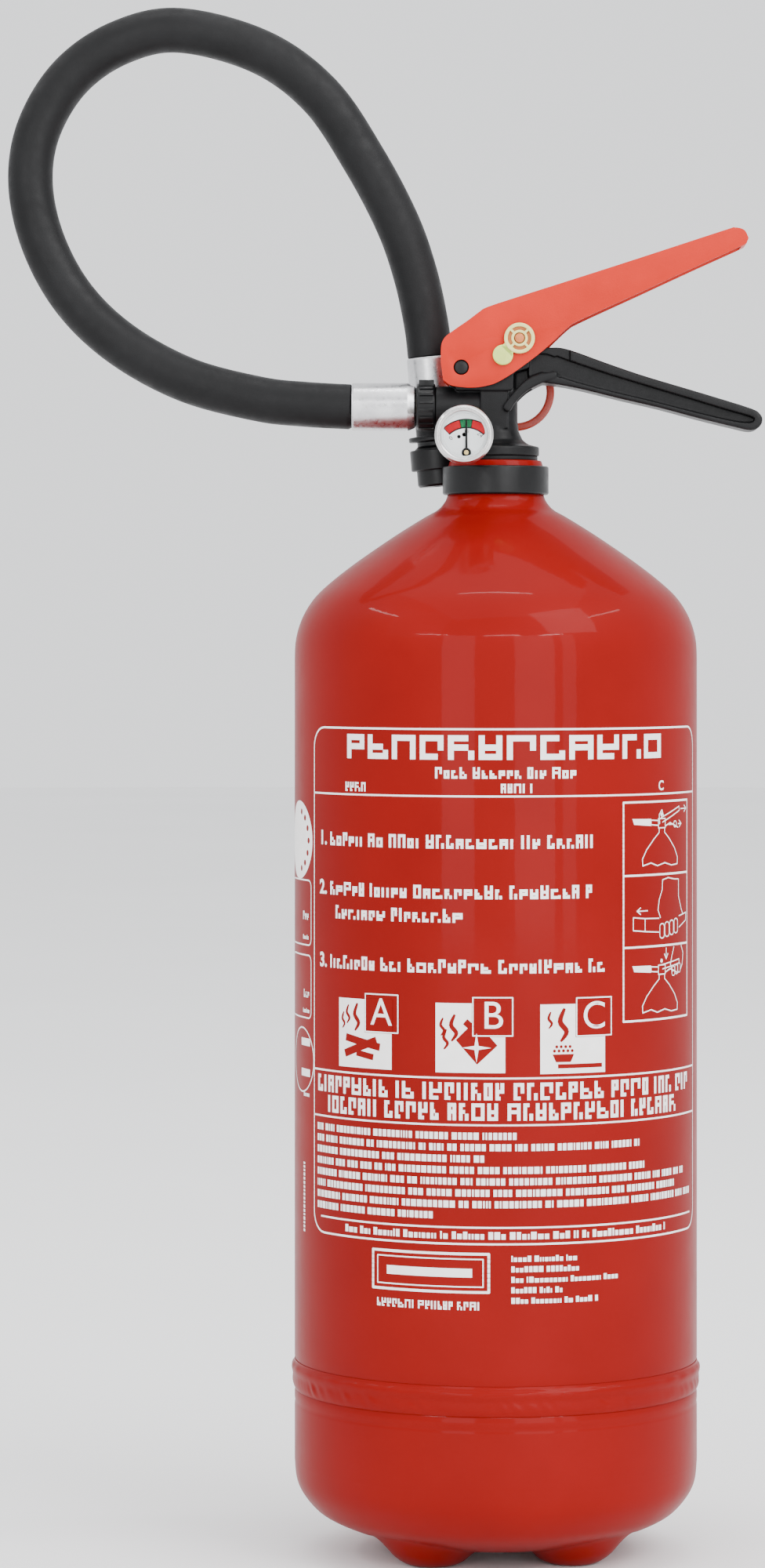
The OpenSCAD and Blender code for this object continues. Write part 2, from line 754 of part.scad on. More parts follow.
module hose() {
    inlet = [ferrule_x, 0, outlet_z];
    exit = nozzle_mouth + nozzle_len * nozzle_dir;
    curve = smooth_curve(concat([inlet + [-0.6, 0, 0]], hose_route, [exit + 0.6 * nozzle_dir]), route_steps);
    path = concat([inlet + [hose_in, 0, 0], inlet + [-0.1, 0, 0]], curve,
        [exit + 0.1 * nozzle_dir, exit - hose_in * nozzle_dir]);
    n = len(path);
    m = hose_sides;
    bore = hose_bore / 2 / cos(180 / m);
    function ring_at(i, r) =
        let (t = unit(knot(path, i + 1) - knot(path, i - 1)), u = unit(cross(t, [0, 1, 0])), v = cross(t, u))
        [for (j = [0 : m - 1]) let (a = 360 * j / m) path[i] + r * (cos(a) * u + sin(a) * v)];
    outside = [for (i = [0 : n - 1]) each ring_at(i, i < 2 || i > n - 3 ? crimp_r : hose_d / 2)];
    inside = [for (i = [0 : n - 1]) each ring_at(i, bore)];
    k = n * m;
    faces = concat(
        [for (i = [0 : n - 2]) for (j = [0 : m - 1])
            [i * m + j, i * m + (j + 1) % m, (i + 1) * m + (j + 1) % m, (i + 1) * m + j]],
        [for (i = [0 : n - 2]) for (j = [0 : m - 1])
            [k + i * m + j, k + (i + 1) * m + j, k + (i + 1) * m + (j + 1) % m, k + i * m + (j + 1) % m]],
        [for (j = [0 : m - 1]) [j, k + j, k + (j + 1) % m, (j + 1) % m]],
        [for (j = [0 : m - 1]) [k - m + j, k - m + (j + 1) % m, 2 * k - m + (j + 1) % m, 2 * k - m + j]]
    );
    color([0.1, 0.1, 0.1])
        polyhedron(points = concat(outside, inside), faces = faces, convexity = 10);
}

// puts a piece drawn along +Z from 0 on the nozzle's axis, at s from the mouth
module on_nozzle(s) {
    translate(nozzle_mouth + s * nozzle_dir)
        rotate([0, -nozzle_lean, 0])
            children();
}

module nozzle_ferrule() {
    color("silver")
        on_nozzle(nozzle_len - hose_in - 2.4)
            sleeve(hose_in + 2.4);
}

module nozzle_tail() {
    color([0.8, 0.68, 0.38])
        on_nozzle(14)
            barbs(36);
}

module nozzle() {
    color([0.09, 0.09, 0.1])
        on_nozzle(0)
            rotate_extrude()
                polygon([
                    [4.2, 0], [8.7, 0], [9.4, 0.7], [9.4, 15.6], [8.2, 16.4], [8.2, 18.2],
                    [11, 18.2], [11.5, 18.7], [11.5, 19.9], [11, 20.3], [8.4, 20.3], [8.4, 26.2],
                    [4.95, 26.2], [4.95, 14], [3.4, 13]
                ]);
}

module nozzle_clip() {
    aim = atan2(nozzle_y, nozzle_x);
    color([0.08, 0.08, 0.09])
        difference() {
            union() {
                on_nozzle(6.6)
                    ring(11.5, 9.5, 0, 8.4, 0.5);
                rotate([0, 0, aim])
                    translate([flange_r - 2, -5, 435.4])
                        cube([8, 10, 3.2]);
            }
            translate([0, 0, 430])
                cylinder(r = flange_r, h = 10);
            on_nozzle(-5)
                cylinder(r = 9.5, h = 40);
        }
}

cylinder_shell();
cylinder_base();
base_feet();
seam_weld();
powder_charge();
neck_boss();
neck_collar();
neck_gasket();
valve_body();
spring_retainer();
siphon_tube();
valve_spring();
valve_stem();
stem_seal();
stem_o_ring();
operating_lever();
lever_pivot_pin();
carry_handle();
handle_rivet();
safety_pin();
pull_ring();
tamper_seal();
gauge_stem();
gauge_case();
gauge_bezel();
gauge_dial();
gauge_glass();
gauge_coil();
gauge_needle();
outlet_nut();
outlet_tail();
outlet_ferrule();
hose();
nozzle_ferrule();
nozzle_tail();
nozzle();
nozzle_clip();
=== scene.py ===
import math
import random

import bmesh
import bpy
import numpy as np
from mathutils import Matrix, Vector


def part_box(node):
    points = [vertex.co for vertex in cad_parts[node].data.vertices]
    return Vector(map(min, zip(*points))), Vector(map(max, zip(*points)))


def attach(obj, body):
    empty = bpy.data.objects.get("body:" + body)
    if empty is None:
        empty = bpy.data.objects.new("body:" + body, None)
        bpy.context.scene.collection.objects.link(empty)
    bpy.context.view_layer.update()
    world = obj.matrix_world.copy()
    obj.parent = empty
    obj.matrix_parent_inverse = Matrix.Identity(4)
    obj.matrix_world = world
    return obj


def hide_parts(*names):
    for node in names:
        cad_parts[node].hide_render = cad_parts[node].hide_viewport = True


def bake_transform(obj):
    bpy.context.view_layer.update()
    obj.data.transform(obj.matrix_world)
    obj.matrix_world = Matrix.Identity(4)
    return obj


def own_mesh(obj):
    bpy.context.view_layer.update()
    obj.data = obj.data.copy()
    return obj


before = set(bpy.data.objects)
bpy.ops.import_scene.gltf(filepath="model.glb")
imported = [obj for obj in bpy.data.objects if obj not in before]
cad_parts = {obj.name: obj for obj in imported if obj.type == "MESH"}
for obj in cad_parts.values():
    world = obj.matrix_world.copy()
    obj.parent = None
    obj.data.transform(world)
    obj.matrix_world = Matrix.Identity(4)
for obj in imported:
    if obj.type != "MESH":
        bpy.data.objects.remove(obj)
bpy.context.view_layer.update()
MM = 0.001
shell_low, shell_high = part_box("cylinder_shell")
R = round((shell_high.x - shell_low.x) / MM) / 2  # the cylinder's radius, to half a millimetre


# -------- camera
def look(obj, target):
    obj.rotation_euler = (Vector(target) - obj.location).to_track_quat("-Z", "Y").to_euler()


cam = bpy.data.objects.new("camera", bpy.data.cameras.new("camera"))
bpy.context.scene.collection.objects.link(cam)
cam.location = (0, -1.97, 0.370)
cam.rotation_euler = (math.radians(90), 0, math.radians(1.31))
cam.data.sensor_width = 36
cam.data.lens = 113.6
cam.data.shift_y = -0.1045
bpy.context.scene.camera = cam


# -------- materials
def nodes_of(name):
    """A new material, its node tree and its shader."""
    m = bpy.data.materials.new(name)
    m.use_nodes = True
    t = m.node_tree
    return m, t, t.nodes["Principled BSDF"]


def noise(t, scale, detail=3):
    co = t.nodes.new("ShaderNodeTexCoord")
    nz = t.nodes.new("ShaderNodeTexNoise")
    nz.inputs["Scale"].default_value = scale
    nz.inputs["Detail"].default_value = detail
    nz.inputs["Roughness"].default_value = 0.55
    t.links.new(co.outputs["Object"], nz.inputs["Vector"])
    return nz.outputs["Fac"]


def spread(t, fac, low, high):
    """Stretches the middle of a noise, 0.3 to 0.7, over low to high."""
    r = t.nodes.new("ShaderNodeMapRange")
    r.inputs["From Min"].default_value = 0.3
    r.inputs["From Max"].default_value = 0.7
    r.inputs["To Min"].default_value = low
    r.inputs["To Max"].default_value = high
    t.links.new(fac, r.inputs["Value"])
    return r.outputs["Result"]


def mixed(t, fac, c0, c1):
    m = t.nodes.new("ShaderNodeMix")
    m.data_type = "RGBA"
    m.inputs["A"].default_value = (*c0, 1)
    m.inputs["B"].default_value = (*c1, 1)
    t.links.new(fac, m.inputs["Factor"])
    return m.outputs["Result"]


def finish_of(name, dark, light, rough=(0.3, 0.4), metal=0.0, scale=30, bump=0.0,
              bump_scale=900, bump_dist=0.0002, coat=0.0, coat_rough=0.05, spec=0.5, sss=0.0):
    """A paint, plastic or metal that varies a little in colour and roughness, with a fine grain where bump is set."""
    m, t, b = nodes_of(name)
    f = noise(t, scale)
    t.links.new(mixed(t, spread(t, f, 0, 1), dark, light), b.inputs["Base Color"])
    g = noise(t, scale * 4.3, detail=5)
    t.links.new(spread(t, g, rough[0], rough[1]), b.inputs["Roughness"])
    b.inputs["Metallic"].default_value = metal
    b.inputs["Specular IOR Level"].default_value = spec
    b.inputs["Coat Weight"].default_value = coat
    b.inputs["Coat Roughness"].default_value = coat_rough
    if sss:
        b.inputs["Subsurface Weight"].default_value = sss
        b.inputs["Subsurface Radius"].default_value = (0.002, 0.002, 0.001)
    if bump:
        n = t.nodes.new("ShaderNodeBump")
        n.inputs["Strength"].default_value = bump
        n.inputs["Distance"].default_value = bump_dist
        t.links.new(noise(t, bump_scale, detail=2), n.inputs["Height"])
        t.links.new(n.outputs["Normal"], b.inputs["Normal"])
        if coat:
            t.links.new(n.outputs["Normal"], b.inputs["Coat Normal"])
    return m


red = finish_of("red_paint", (0.180, 0.0036, 0.0028), (0.205, 0.0044, 0.0034), (0.34, 0.40), scale=18,
                bump=0.06, bump_scale=420, bump_dist=0.0002, coat=0.10, coat_rough=0.05, spec=0.03)
lever_red = finish_of("lever_paint", (0.47, 0.018, 0.007), (0.53, 0.022, 0.009), (0.36, 0.46), scale=60,
                      bump=0.22, bump_scale=1500, bump_dist=0.0002, spec=0.14)
black_cast = finish_of("black_coat", (0.002, 0.002, 0.0023), (0.0045, 0.0045, 0.005), (0.36, 0.5), scale=120,
                       bump=0.35, bump_scale=2600, bump_dist=0.0002, spec=0.2)
black_moulded = finish_of("black_plastic", (0.002, 0.002, 0.0023), (0.004, 0.004, 0.0045), (0.28, 0.4), scale=90,
                          bump=0.12, bump_scale=2200, bump_dist=0.0002, spec=0.24)
rubber = finish_of("hose_rubber", (0.002, 0.002, 0.0023), (0.005, 0.005, 0.0055), (0.42, 0.58), scale=55,
                   bump=0.3, bump_scale=1800, bump_dist=0.0002, spec=0.2)
ring_red = finish_of("ring_plastic", (0.30, 0.022, 0.010), (0.40, 0.032, 0.014), (0.28, 0.42), scale=150,
                     bump=0.1, bump_scale=1400)
seal_mat = finish_of("seal_plastic", (0.64, 0.60, 0.21), (0.74, 0.69, 0.28), (0.35, 0.5), scale=260, sss=0.15,
                     bump=0.1, bump_scale=1800)
tab_mat = finish_of("seal_tab", (0.50, 0.62, 0.11), (0.60, 0.70, 0.17), (0.35, 0.5), scale=260, sss=0.15,
                    bump=0.1, bump_scale=1800)
nylon = finish_of("white_plastic", (0.70, 0.70, 0.66), (0.80, 0.80, 0.77), (0.4, 0.55), scale=80)
alu = finish_of("crimped_aluminium", (0.56, 0.56, 0.57), (0.72, 0.72, 0.73), (0.24, 0.38), metal=1.0, scale=160,
                bump=0.15, bump_scale=1100, bump_dist=0.0001)
brass = finish_of("brass", (0.55, 0.38, 0.14), (0.70, 0.52, 0.22), (0.25, 0.38), metal=1.0, scale=120)
steel = finish_of("bright_steel", (0.55, 0.53, 0.52), (0.70, 0.69, 0.68), (0.16, 0.28), metal=1.0, scale=200)
wire = finish_of("spring_steel", (0.45, 0.45, 0.46), (0.6, 0.6, 0.6), (0.25, 0.4), metal=1.0, scale=300)
pin_brown = finish_of("pin_end", (0.46, 0.13, 0.035), (0.62, 0.20, 0.06), (0.3, 0.5), metal=0.35, scale=500)
dial_white = finish_of("dial_white", (0.80, 0.82, 0.82), (0.88, 0.89, 0.89), (0.4, 0.5), scale=120)
ink = finish_of("dial_black", (0.004, 0.004, 0.004), (0.008, 0.008, 0.008), (0.4, 0.5), scale=300, spec=0.1)
dial_red = finish_of("dial_red", (0.40, 0.004, 0.010), (0.47, 0.006, 0.014), (0.4, 0.5), scale=400, spec=0.08)
dial_green = finish_of("dial_green", (0.006, 0.10, 0.035), (0.012, 0.14, 0.05), (0.4, 0.5), scale=400, spec=0.08)
white_ink = finish_of("label_white", (0.88, 0.86, 0.84), (0.95, 0.93, 0.92), (0.3, 0.42), scale=140, coat=0.4)
powder_mat = finish_of("powder", (0.78, 0.76, 0.62), (0.86, 0.84, 0.70), (0.85, 0.95), scale=400)


def glass_material():
    m, t, b = nodes_of("gauge_glass")
    b.inputs["Transmission Weight"].default_value = 1.0
    b.inputs["IOR"].default_value = 1.12
    t.links.new(spread(t, noise(t, 300), 0.0, 0.03), b.inputs["Roughness"])
    t.links.new(mixed(t, noise(t, 90), (0.97, 0.99, 0.99), (1, 1, 1)), b.inputs["Base Color"])
    return m


clear = glass_material()


# -------- mesh helpers, all in millimetres
def new_object(name, verts, faces, mat, body, angle=35):
    me = bpy.data.meshes.new(name)
    me.from_pydata([tuple(c * MM for c in v) for v in verts], [], faces)
    bm = bmesh.new()
    bm.from_mesh(me)
    bmesh.ops.remove_doubles(bm, verts=bm.verts, dist=1e-6)
    bmesh.ops.recalc_face_normals(bm, faces=bm.faces)
    bm.to_mesh(me)
    bm.free()
    return wrap(name, me, mat, body, True, angle)


def wrap(name, me, mat, body, smooth=True, angle=35):
    o = bpy.data.objects.new(name, me)
    bpy.context.scene.collection.objects.link(o)
    me.materials.clear()
    me.materials.append(mat)
    shade(o, smooth, angle)
    if body:
        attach(o, body)
    return o


def shade(o, smooth=True, angle=35):
    for p in o.data.polygons:
        p.use_smooth = smooth
    if smooth:
        o.data.set_sharp_from_angle(angle=math.radians(angle))


def bake(o):
    """Replaces an object's mesh by what its modifiers make of it."""
    bpy.context.view_layer.update()
    me = bpy.data.meshes.new_from_object(o.evaluated_get(bpy.context.evaluated_depsgraph_get()))
    o.modifiers.clear()
    o.data = me
    return o


def rounded(points, n=5):
    """A closed outline given as (x, y, corner radius), with its corners rounded."""
    out = []
    k = len(points)
    for i, (x, y, r) in enumerate(points):
        p = Vector((x, y))
        if r <= 0:
            out.append((x, y))
            continue
        a = Vector(points[i - 1][:2]) - p
        b = Vector(points[(i + 1) % k][:2]) - p
        la, lb = a.length, b.length
        a.normalize()
        b.normalize()
        half = math.acos(max(-1, min(1, a.dot(b)))) / 2
        t = min(r / math.tan(half), 0.49 * la, 0.49 * lb)
        rr = t * math.tan(half)
        c = p + (a + b).normalized() * (rr / math.sin(half))
        s, e = p + a * t - c, p + b * t - c
        turn = s.angle_signed(e)
        for j in range(n + 1):
            q = s.copy()
            q.rotate(Matrix.Rotation(-turn * j / n, 2))
            out.append(tuple(c + q))
    return out


def spline(pts, n, closed=False):
    """Catmull-Rom curve through the points, n steps between each two."""
    p = [np.array(q, float) for q in pts]
    m = len(p)
    at = (lambda i: p[i % m]) if closed else (lambda i: p[max(0, min(m - 1, i))])
    out = []
    for i in range(m if closed else m - 1):
        a, b, c, d = at(i - 1), at(i), at(i + 1), at(i + 2)
        for k in range(n):
            t = k / n
            out.append(0.5 * (2 * b + (c - a) * t + (2 * a - 5 * b + 4 * c - d) * t * t
                              + (3 * b - a - 3 * c + d) * t ** 3))
    if not closed:
        out.append(p[-1])
    return out


def points(line, n, closed=False):
    """A spline's points as plain tuples."""
    return [tuple(p) for p in spline(line, n, closed)]


def turn(n):
    """n angles all the way round."""
    return np.linspace(0, 2 * math.pi, n, endpoint=False)


def lathe(name, prof, mat, body, place=Matrix.Identity(4), seg=96, closed=True, angle=35, wave=None):
    """Turns a profile of (r, z) about Z. place maps it to the row frame, in millimetres."""
    verts, faces, m = [], [], len(prof)
    for i in range(seg):
        a = 2 * math.pi * i / seg
        for k, (r, z) in enumerate(prof):
            if wave:
                r, z = wave(a, r, z)
            verts.append(tuple(place @ Vector((r * math.cos(a), r * math.sin(a), z))))
    for i in range(seg):
        j = (i + 1) % seg
        for k in range(m if closed else m - 1):
            l = (k + 1) % m
            faces.append([i * m + k, j * m + k, j * m + l, i * m + l])
    return new_object(name, verts, faces, mat, body, angle=angle)


def along(origin, direction):
    """Puts +Z of a turned piece along a direction, from an origin."""
    q = Vector(direction).normalized().to_track_quat("Z", "X")
    return Matrix.Translation(Vector(origin)) @ q.to_matrix().to_4x4()


def facing(x, z, y):
    """Turns a lathed piece to face the front, with its own Z along +Y."""
    return along((x, y, z), (0, 1, 0))


def plate(name, outline, y0, y1, mat, body):
    """A side outline of (x, z), from y0 to y1."""
    k = len(outline)
    verts = [(x, y0, z) for x, z in outline] + [(x, y1, z) for x, z in outline]
    faces = [list(range(k)), [k + i for i in reversed(range(k))]]
    faces += [[i, (i + 1) % k, k + (i + 1) % k, k + i] for i in range(k)]
    return new_object(name, verts, faces, mat, body)


def box_object(name, low, high, mat, body):
    x0, y0, z0 = low
    x1, y1, z1 = high
    v = [(x, y, z) for z in (z0, z1) for y in (y0, y1) for x in (x0, x1)]
    f = [[0, 1, 3, 2], [4, 6, 7, 5], [0, 4, 5, 1], [2, 3, 7, 6], [0, 2, 6, 4], [1, 5, 7, 3]]
    return new_object(name, v, f, mat, body)


def join(name, parts, mat, body):
    """One object from several meshes that are already in the row frame."""
    bm = bmesh.new()
    for p in parts:
        bm.from_mesh(p.data)
        bpy.data.objects.remove(p)
    me = bpy.data.meshes.new(name)
    bm.to_mesh(me)
    bm.free()
    return wrap(name, me, mat, body)


def cast(o, voxel):
    """Melts overlapping solids into one casting with soft corners."""
    r = o.modifiers.new("remesh", "REMESH")
    r.mode = "VOXEL"
    r.voxel_size = voxel * MM
    s = o.modifiers.new("smooth", "SMOOTH")
    s.factor = 0.5
    s.iterations = 4
    bake(o)
    shade(o, True, 180)
    return o


def cut(o, tool):
    """Takes the tool's shape out of an object, and the tool away."""
    b = o.modifiers.new("cut", "BOOLEAN")
    b.operation = "DIFFERENCE"
    b.solver = "EXACT"
    b.object = tool
    bake(o)
    bpy.data.objects.remove(tool)
    return o


def soften(o, width):
    """Eases an object's sharp edges by a width."""
    b = o.modifiers.new("bevel", "BEVEL")
    b.width = width * MM
    b.segments = 2
    b.limit_method = "ANGLE"
    b.angle_limit = math.radians(50)
    bake(o)
    shade(o, True, 40)
    return o


def rod(name, a, b, r, mat, body, edge=0.3):
    """A cylinder from a to b with eased ends."""
    a, b = Vector(a), Vector(b)
    h = (b - a).length
    prof = [(0, 0), (r - edge, 0), (r - 0.3 * edge, 0.3 * edge), (r, edge),
            (r, h - edge), (r - 0.3 * edge, h - 0.3 * edge), (r - edge, h), (0, h)]
    return lathe(name, prof, mat, body, along(a, b - a), 48, closed=False)


def level(e):
    """Whether an edge of a plate lies in one of its two faces."""
    return abs(e.verts[0].co.y - e.verts[1].co.y) < 1e-6


def round_edges(o, wanted, radius, segments):
    """Rounds the edges of a plate for which wanted(edge) is true."""
    bm = bmesh.new()
    bm.from_mesh(o.data)
    bmesh.ops.bevel(bm, geom=[e for e in bm.edges if wanted(e)], offset=radius * MM, segments=segments, profile=0.5,
                    affect="EDGES", clamp_overlap=True)
    bm.to_mesh(o.data)
    bm.free()


def text_mesh(name, text, size, bold=0.0):
    """Plain letters or numerals as a flat mesh centred on its origin."""
    c = bpy.data.curves.new(name, "FONT")
    c.body = text
    c.size = size
    c.offset = bold
    c.align_x = "CENTER"
    c.align_y = "CENTER"
    o = bpy.data.objects.new(name, c)
    bpy.context.scene.collection.objects.link(o)
    bpy.context.view_layer.update()
    me = bpy.data.meshes.new_from_object(o.evaluated_get(bpy.context.evaluated_depsgraph_get()))
    bpy.data.objects.remove(o)
    return me


ROOT = "extinguisher"
PIVOT_X, PIVOT_Z = -13.6, 470.1  # the lever's hinge
PIN_X, PIN_Z = 9.45, 481.5  # the safety pin

# -------- the hose
ferrule_low, ferrule_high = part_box("outlet_ferrule")
OUT_Z = (ferrule_low.z + ferrule_high.z) / 2 / MM  # the outlet's height
FERRULE_X = ferrule_low.x / MM  # where the hose leaves its ferrule
HOSE_R = 9.0
LEAN = math.radians(5)  # the nozzle, from upright
AXIS = Vector((-math.sin(LEAN), 0, math.cos(LEAN)))
MOUTH = Vector((-21.8, 23, 424))
HOSE_END = MOUTH + 52 * AXIS
route = [
    (FERRULE_X, 0, OUT_Z), (-76, 0, 456), (-94.5, 1, 458.2), (-123.5, 2, 466), (-149.8, 4, 480.5),
    (-169, 6, 499), (-181.5, 8, 522), (-186.5, 10, 546), (-183, 12, 568), (-170.5, 14, 588.5),
    (-151, 15, 602), (-127, 16, 607), (-94.5, 18, 598.5), (-70.5, 19, 581), (-52.8, 20, 555),
    (-39.6, 21.5, 530), (-32.4, 22.3, 509.5), (-28.1, 22.9, 490), tuple(HOSE_END),
]
centre = spline(route, 12)


def tube(name, path, radius, mat, body, seg=48):
    verts, faces = [], []
    n = len(path)
    for i, p in enumerate(path):
        t = Vector(path[min(n - 1, i + 1)]) - Vector(path[max(0, i - 1)])
        t.normalize()
        u = t.cross(Vector((0, 1, 0))).normalized()
        v = t.cross(u)
        for k in range(seg):
            a = 2 * math.pi * k / seg
            r = radius(i) if callable(radius) else radius
            verts.append(tuple(Vector(p) + r * (math.cos(a) * u + math.sin(a) * v)))
    for i in range(n - 1):
        for k in range(seg):
            l = (k + 1) % seg
            faces.append([i * seg + k, i * seg + l, (i + 1) * seg + l, (i + 1) * seg + k])
    faces.append([k for k in range(seg)])
    faces.append([(n - 1) * seg + k for k in range(seg)])
    return new_object(name, verts, faces, mat, body)


hose_path = [np.array([FERRULE_X + 6, 0, OUT_Z])] + centre + [np.array(HOSE_END - 6 * AXIS)]
# a little thinner inside its ferrules
hose = tube("hose_tube", hose_path, lambda i: HOSE_R if 1 < i < len(hose_path) - 2 else 8.3, rubber, None)
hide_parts("hose")
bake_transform(hose)


def sleeve(name, origin, direction, h, body):
    """A crimp ferrule of length h."""
    prof = rounded([
        (5.4, 0, 0), (7.4, 0, 0.4), (8.5, 0.7, 0.6), (9.2, 2.4, 0.8), (9.5, 3.4, 0.5), (9.5, h - 0.7, 0.25),
        (9.32, h - 0.55, 0.1), (9.45, h - 0.4, 0.1), (9.3, h, 0.3), (8.35, h, 0.1), (8.35, 2, 0), (5.4, 2, 0),
    ], 4)
    return lathe(name, prof, alu, body, along(origin, direction), 96, angle=50)


outlet_ferrule = sleeve("outlet_crimp_ferrule", (-31.6, 0, OUT_Z), (-1, 0, 0), -31.6 - FERRULE_X, ROOT)
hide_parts("outlet_ferrule")
nozzle_ferrule = sleeve("nozzle_crimp_ferrule", MOUTH + 26.6 * AXIS, AXIS, 25.4, "nozzle")
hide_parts("nozzle_ferrule")

nozzle = lathe("nozzle_tube", rounded([
    (4.2, 0, 0.2), (8.8, 0, 0.5), (9.4, 0.9, 0.3), (9.4, 15.4, 0.4), (8.2, 16.4, 0.4), (8.2, 18.1, 0.4),
    (11.5, 18.3, 0.5), (11.5, 20.2, 0.5), (8.4, 20.5, 0.3), (8.4, 26.2, 0.2), (4.95, 26.2, 0), (4.95, 14, 0),
    (3.4, 13, 0),
], 4), black_moulded, "nozzle", along(MOUTH, AXIS), 96)
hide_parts("nozzle")

# -------- cylinder
shoulder = spline([
    (80, 355), (79.7, 361), (78.4, 367), (75.8, 373.2), (71.4, 379.6), (64.7, 385.8), (56.6, 392.1),
    (47.8, 398.3), (38.4, 404.6), (28.4, 410.8), (23, 413.9), (20.2, 417.1), (19.15, 419.7),
], 5)
shell_prof = [(79.3, 71), (79.6, 76.6), (80, 78.2)] + [(80, z) for z in np.linspace(82, 350, 30)]
shell_prof += [tuple(p) for p in shoulder] + [(17.4, 419.7), (17.4, 412), (60, 380), (78, 350), (78, 71)]
shell = lathe("cylinder_shell_body", shell_prof, red, ROOT, seg=192, angle=40)
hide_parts("cylinder_shell")

FEET = [(38.8, math.radians(50.2 - 90 + 90 * k)) for k in range(4)]  # each foot's radius and angle
dish = spline([
    (0, 12), (12, 10.6), (24, 8), (36, 6.8), (44.9, 7.4), (51.6, 9), (60, 11.8), (67.3, 15), (72.2, 18.4),
    (76.8, 24), (79.2, 29.5), (80, 37)], 8)
BLEND = 5.0  # how softly a foot runs into the dish


def base_height(x, y, z):
    """The pressed dish with its four feet pushed down out of it."""
    for r, a in FEET:
        d = math.hypot(x - r * math.cos(a), y - r * math.sin(a))
        foot = 7.0 * (max(0.0, d - 7.8) / 10.7) ** 1.8
        h = max(0.0, min(1.0, 0.5 + 0.5 * (z - foot) / BLEND))
        z = z * (1 - h) + foot * h - BLEND * h * (1 - h) * 0.5
    return max(z, 0.0)


def base_mesh():
    """The dish and the wall above it, as far as the weld."""
    seg, fine = 256, []
    for p, q in zip(dish, dish[1:]):
        fine += [p, (p + q) / 2]
    fine.append(dish[-1])
    verts, faces = [], []
    m = len(fine)
    for i in range(seg):
        a = 2 * math.pi * i / seg
        for r, z in fine:
            x, y = r * math.cos(a), r * math.sin(a)
            verts.append((x, y, base_height(x, y, z)))
    wall = [(80, 45), (80, 58.6), (79.93, 59.6), (79.78, 60.4), (79.93, 61.2), (80, 62.2), (80, 64), (79.6, 65.2),
            (79.3, 66), (79.3, 71), (78, 71), (78, 30), (70, 20), (0.5, 14)]
    base = len(verts)
    w = len(wall)
    for i in range(seg):
        a = 2 * math.pi * i / seg
        for r, z in wall:
            verts.append((r * math.cos(a), r * math.sin(a), z))
    for i in range(seg):
        j = (i + 1) % seg
        for k in range(m - 1):
            faces.append([i * m + k, j * m + k, j * m + k + 1, i * m + k + 1])
        faces.append([i * m + m - 1, j * m + m - 1, base + j * w, base + i * w])
        for k in range(w - 1):
            a, b = base + i * w + k, base + j * w + k
            faces.append([a, b, b + 1, a + 1])
    return new_object("base_dish", verts, faces, red, ROOT, angle=60)


base = base_mesh()
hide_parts("cylinder_base", "base_feet")

rng = random.Random(7)
waves = [(rng.uniform(0.3, 1.0), rng.randint(9, 70), rng.uniform(0, 6.28)) for _ in range(16)]
lumps = [(rng.uniform(0.3, 1.0), rng.randint(28, 130), rng.uniform(0, 6.28)) for _ in range(14)]


def bead(a, r, z):
    """The weld's uneven ripples: slow along the upper edge, lumpy below it."""
    crown = max(0.0, min(1.0, (r - 80.1) / 0.8))
    slow = sum(s * math.sin(k * a + p) for s, k, p in waves) / 5
    lump = sum(s * math.sin(k * a + p + 0.9 * z) for s, k, p in lumps) / 4
    low = max(0.0, min(1.0, (73 - z) / 3))
    calm = 0.55 + 0.45 * math.sin(3 * a + 0.6) * math.sin(8 * a)
    return r + crown * (0.08 * slow + 0.26 * low * lump * calm), z + crown * (0.35 * slow + 0.30 * low * lump * calm)


weld = lathe("seam_weld_bead", [
    (79.35, 65.2), (79.85, 65.4), (80.2, 66.1), (80.55, 67), (80.75, 68), (80.8, 69), (80.75, 70), (80.7, 70.8),
    (80.75, 71.5), (80.9, 72.2), (81.1, 72.9), (81.2, 73.6), (81.15, 74.3), (80.95, 74.9), (80.6, 75.4),
    (80.25, 75.8), (80.05, 76.4), (80, 77), (79.35, 77),
], red, ROOT, seg=1080, angle=60, wave=bead)
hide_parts("seam_weld")

boss = lathe("neck_boss_ring", rounded([
    (14.9, 408, 0), (18.9, 408, 0), (18.9, 431, 0.3), (18.2, 433.4, 0.8), (14.9, 433.4, 0.2)], 5), red, ROOT)
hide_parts("neck_boss")
collar = lathe("neck_collar_ring", rounded([
    (19, 419.8, 0.2), (21.1, 419.8, 0.9), (21.1, 431.1, 0.7), (19, 431.1, 0.2)], 6), black_moulded, ROOT, seg=128)
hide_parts("neck_collar")
gasket = lathe("neck_gasket_ring", rounded([
    (15, 433.4, 0), (16.7, 433.4, 0.3), (16.7, 435.1, 0.3), (15, 435.1, 0)], 4), rubber, ROOT)
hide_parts("neck_gasket")


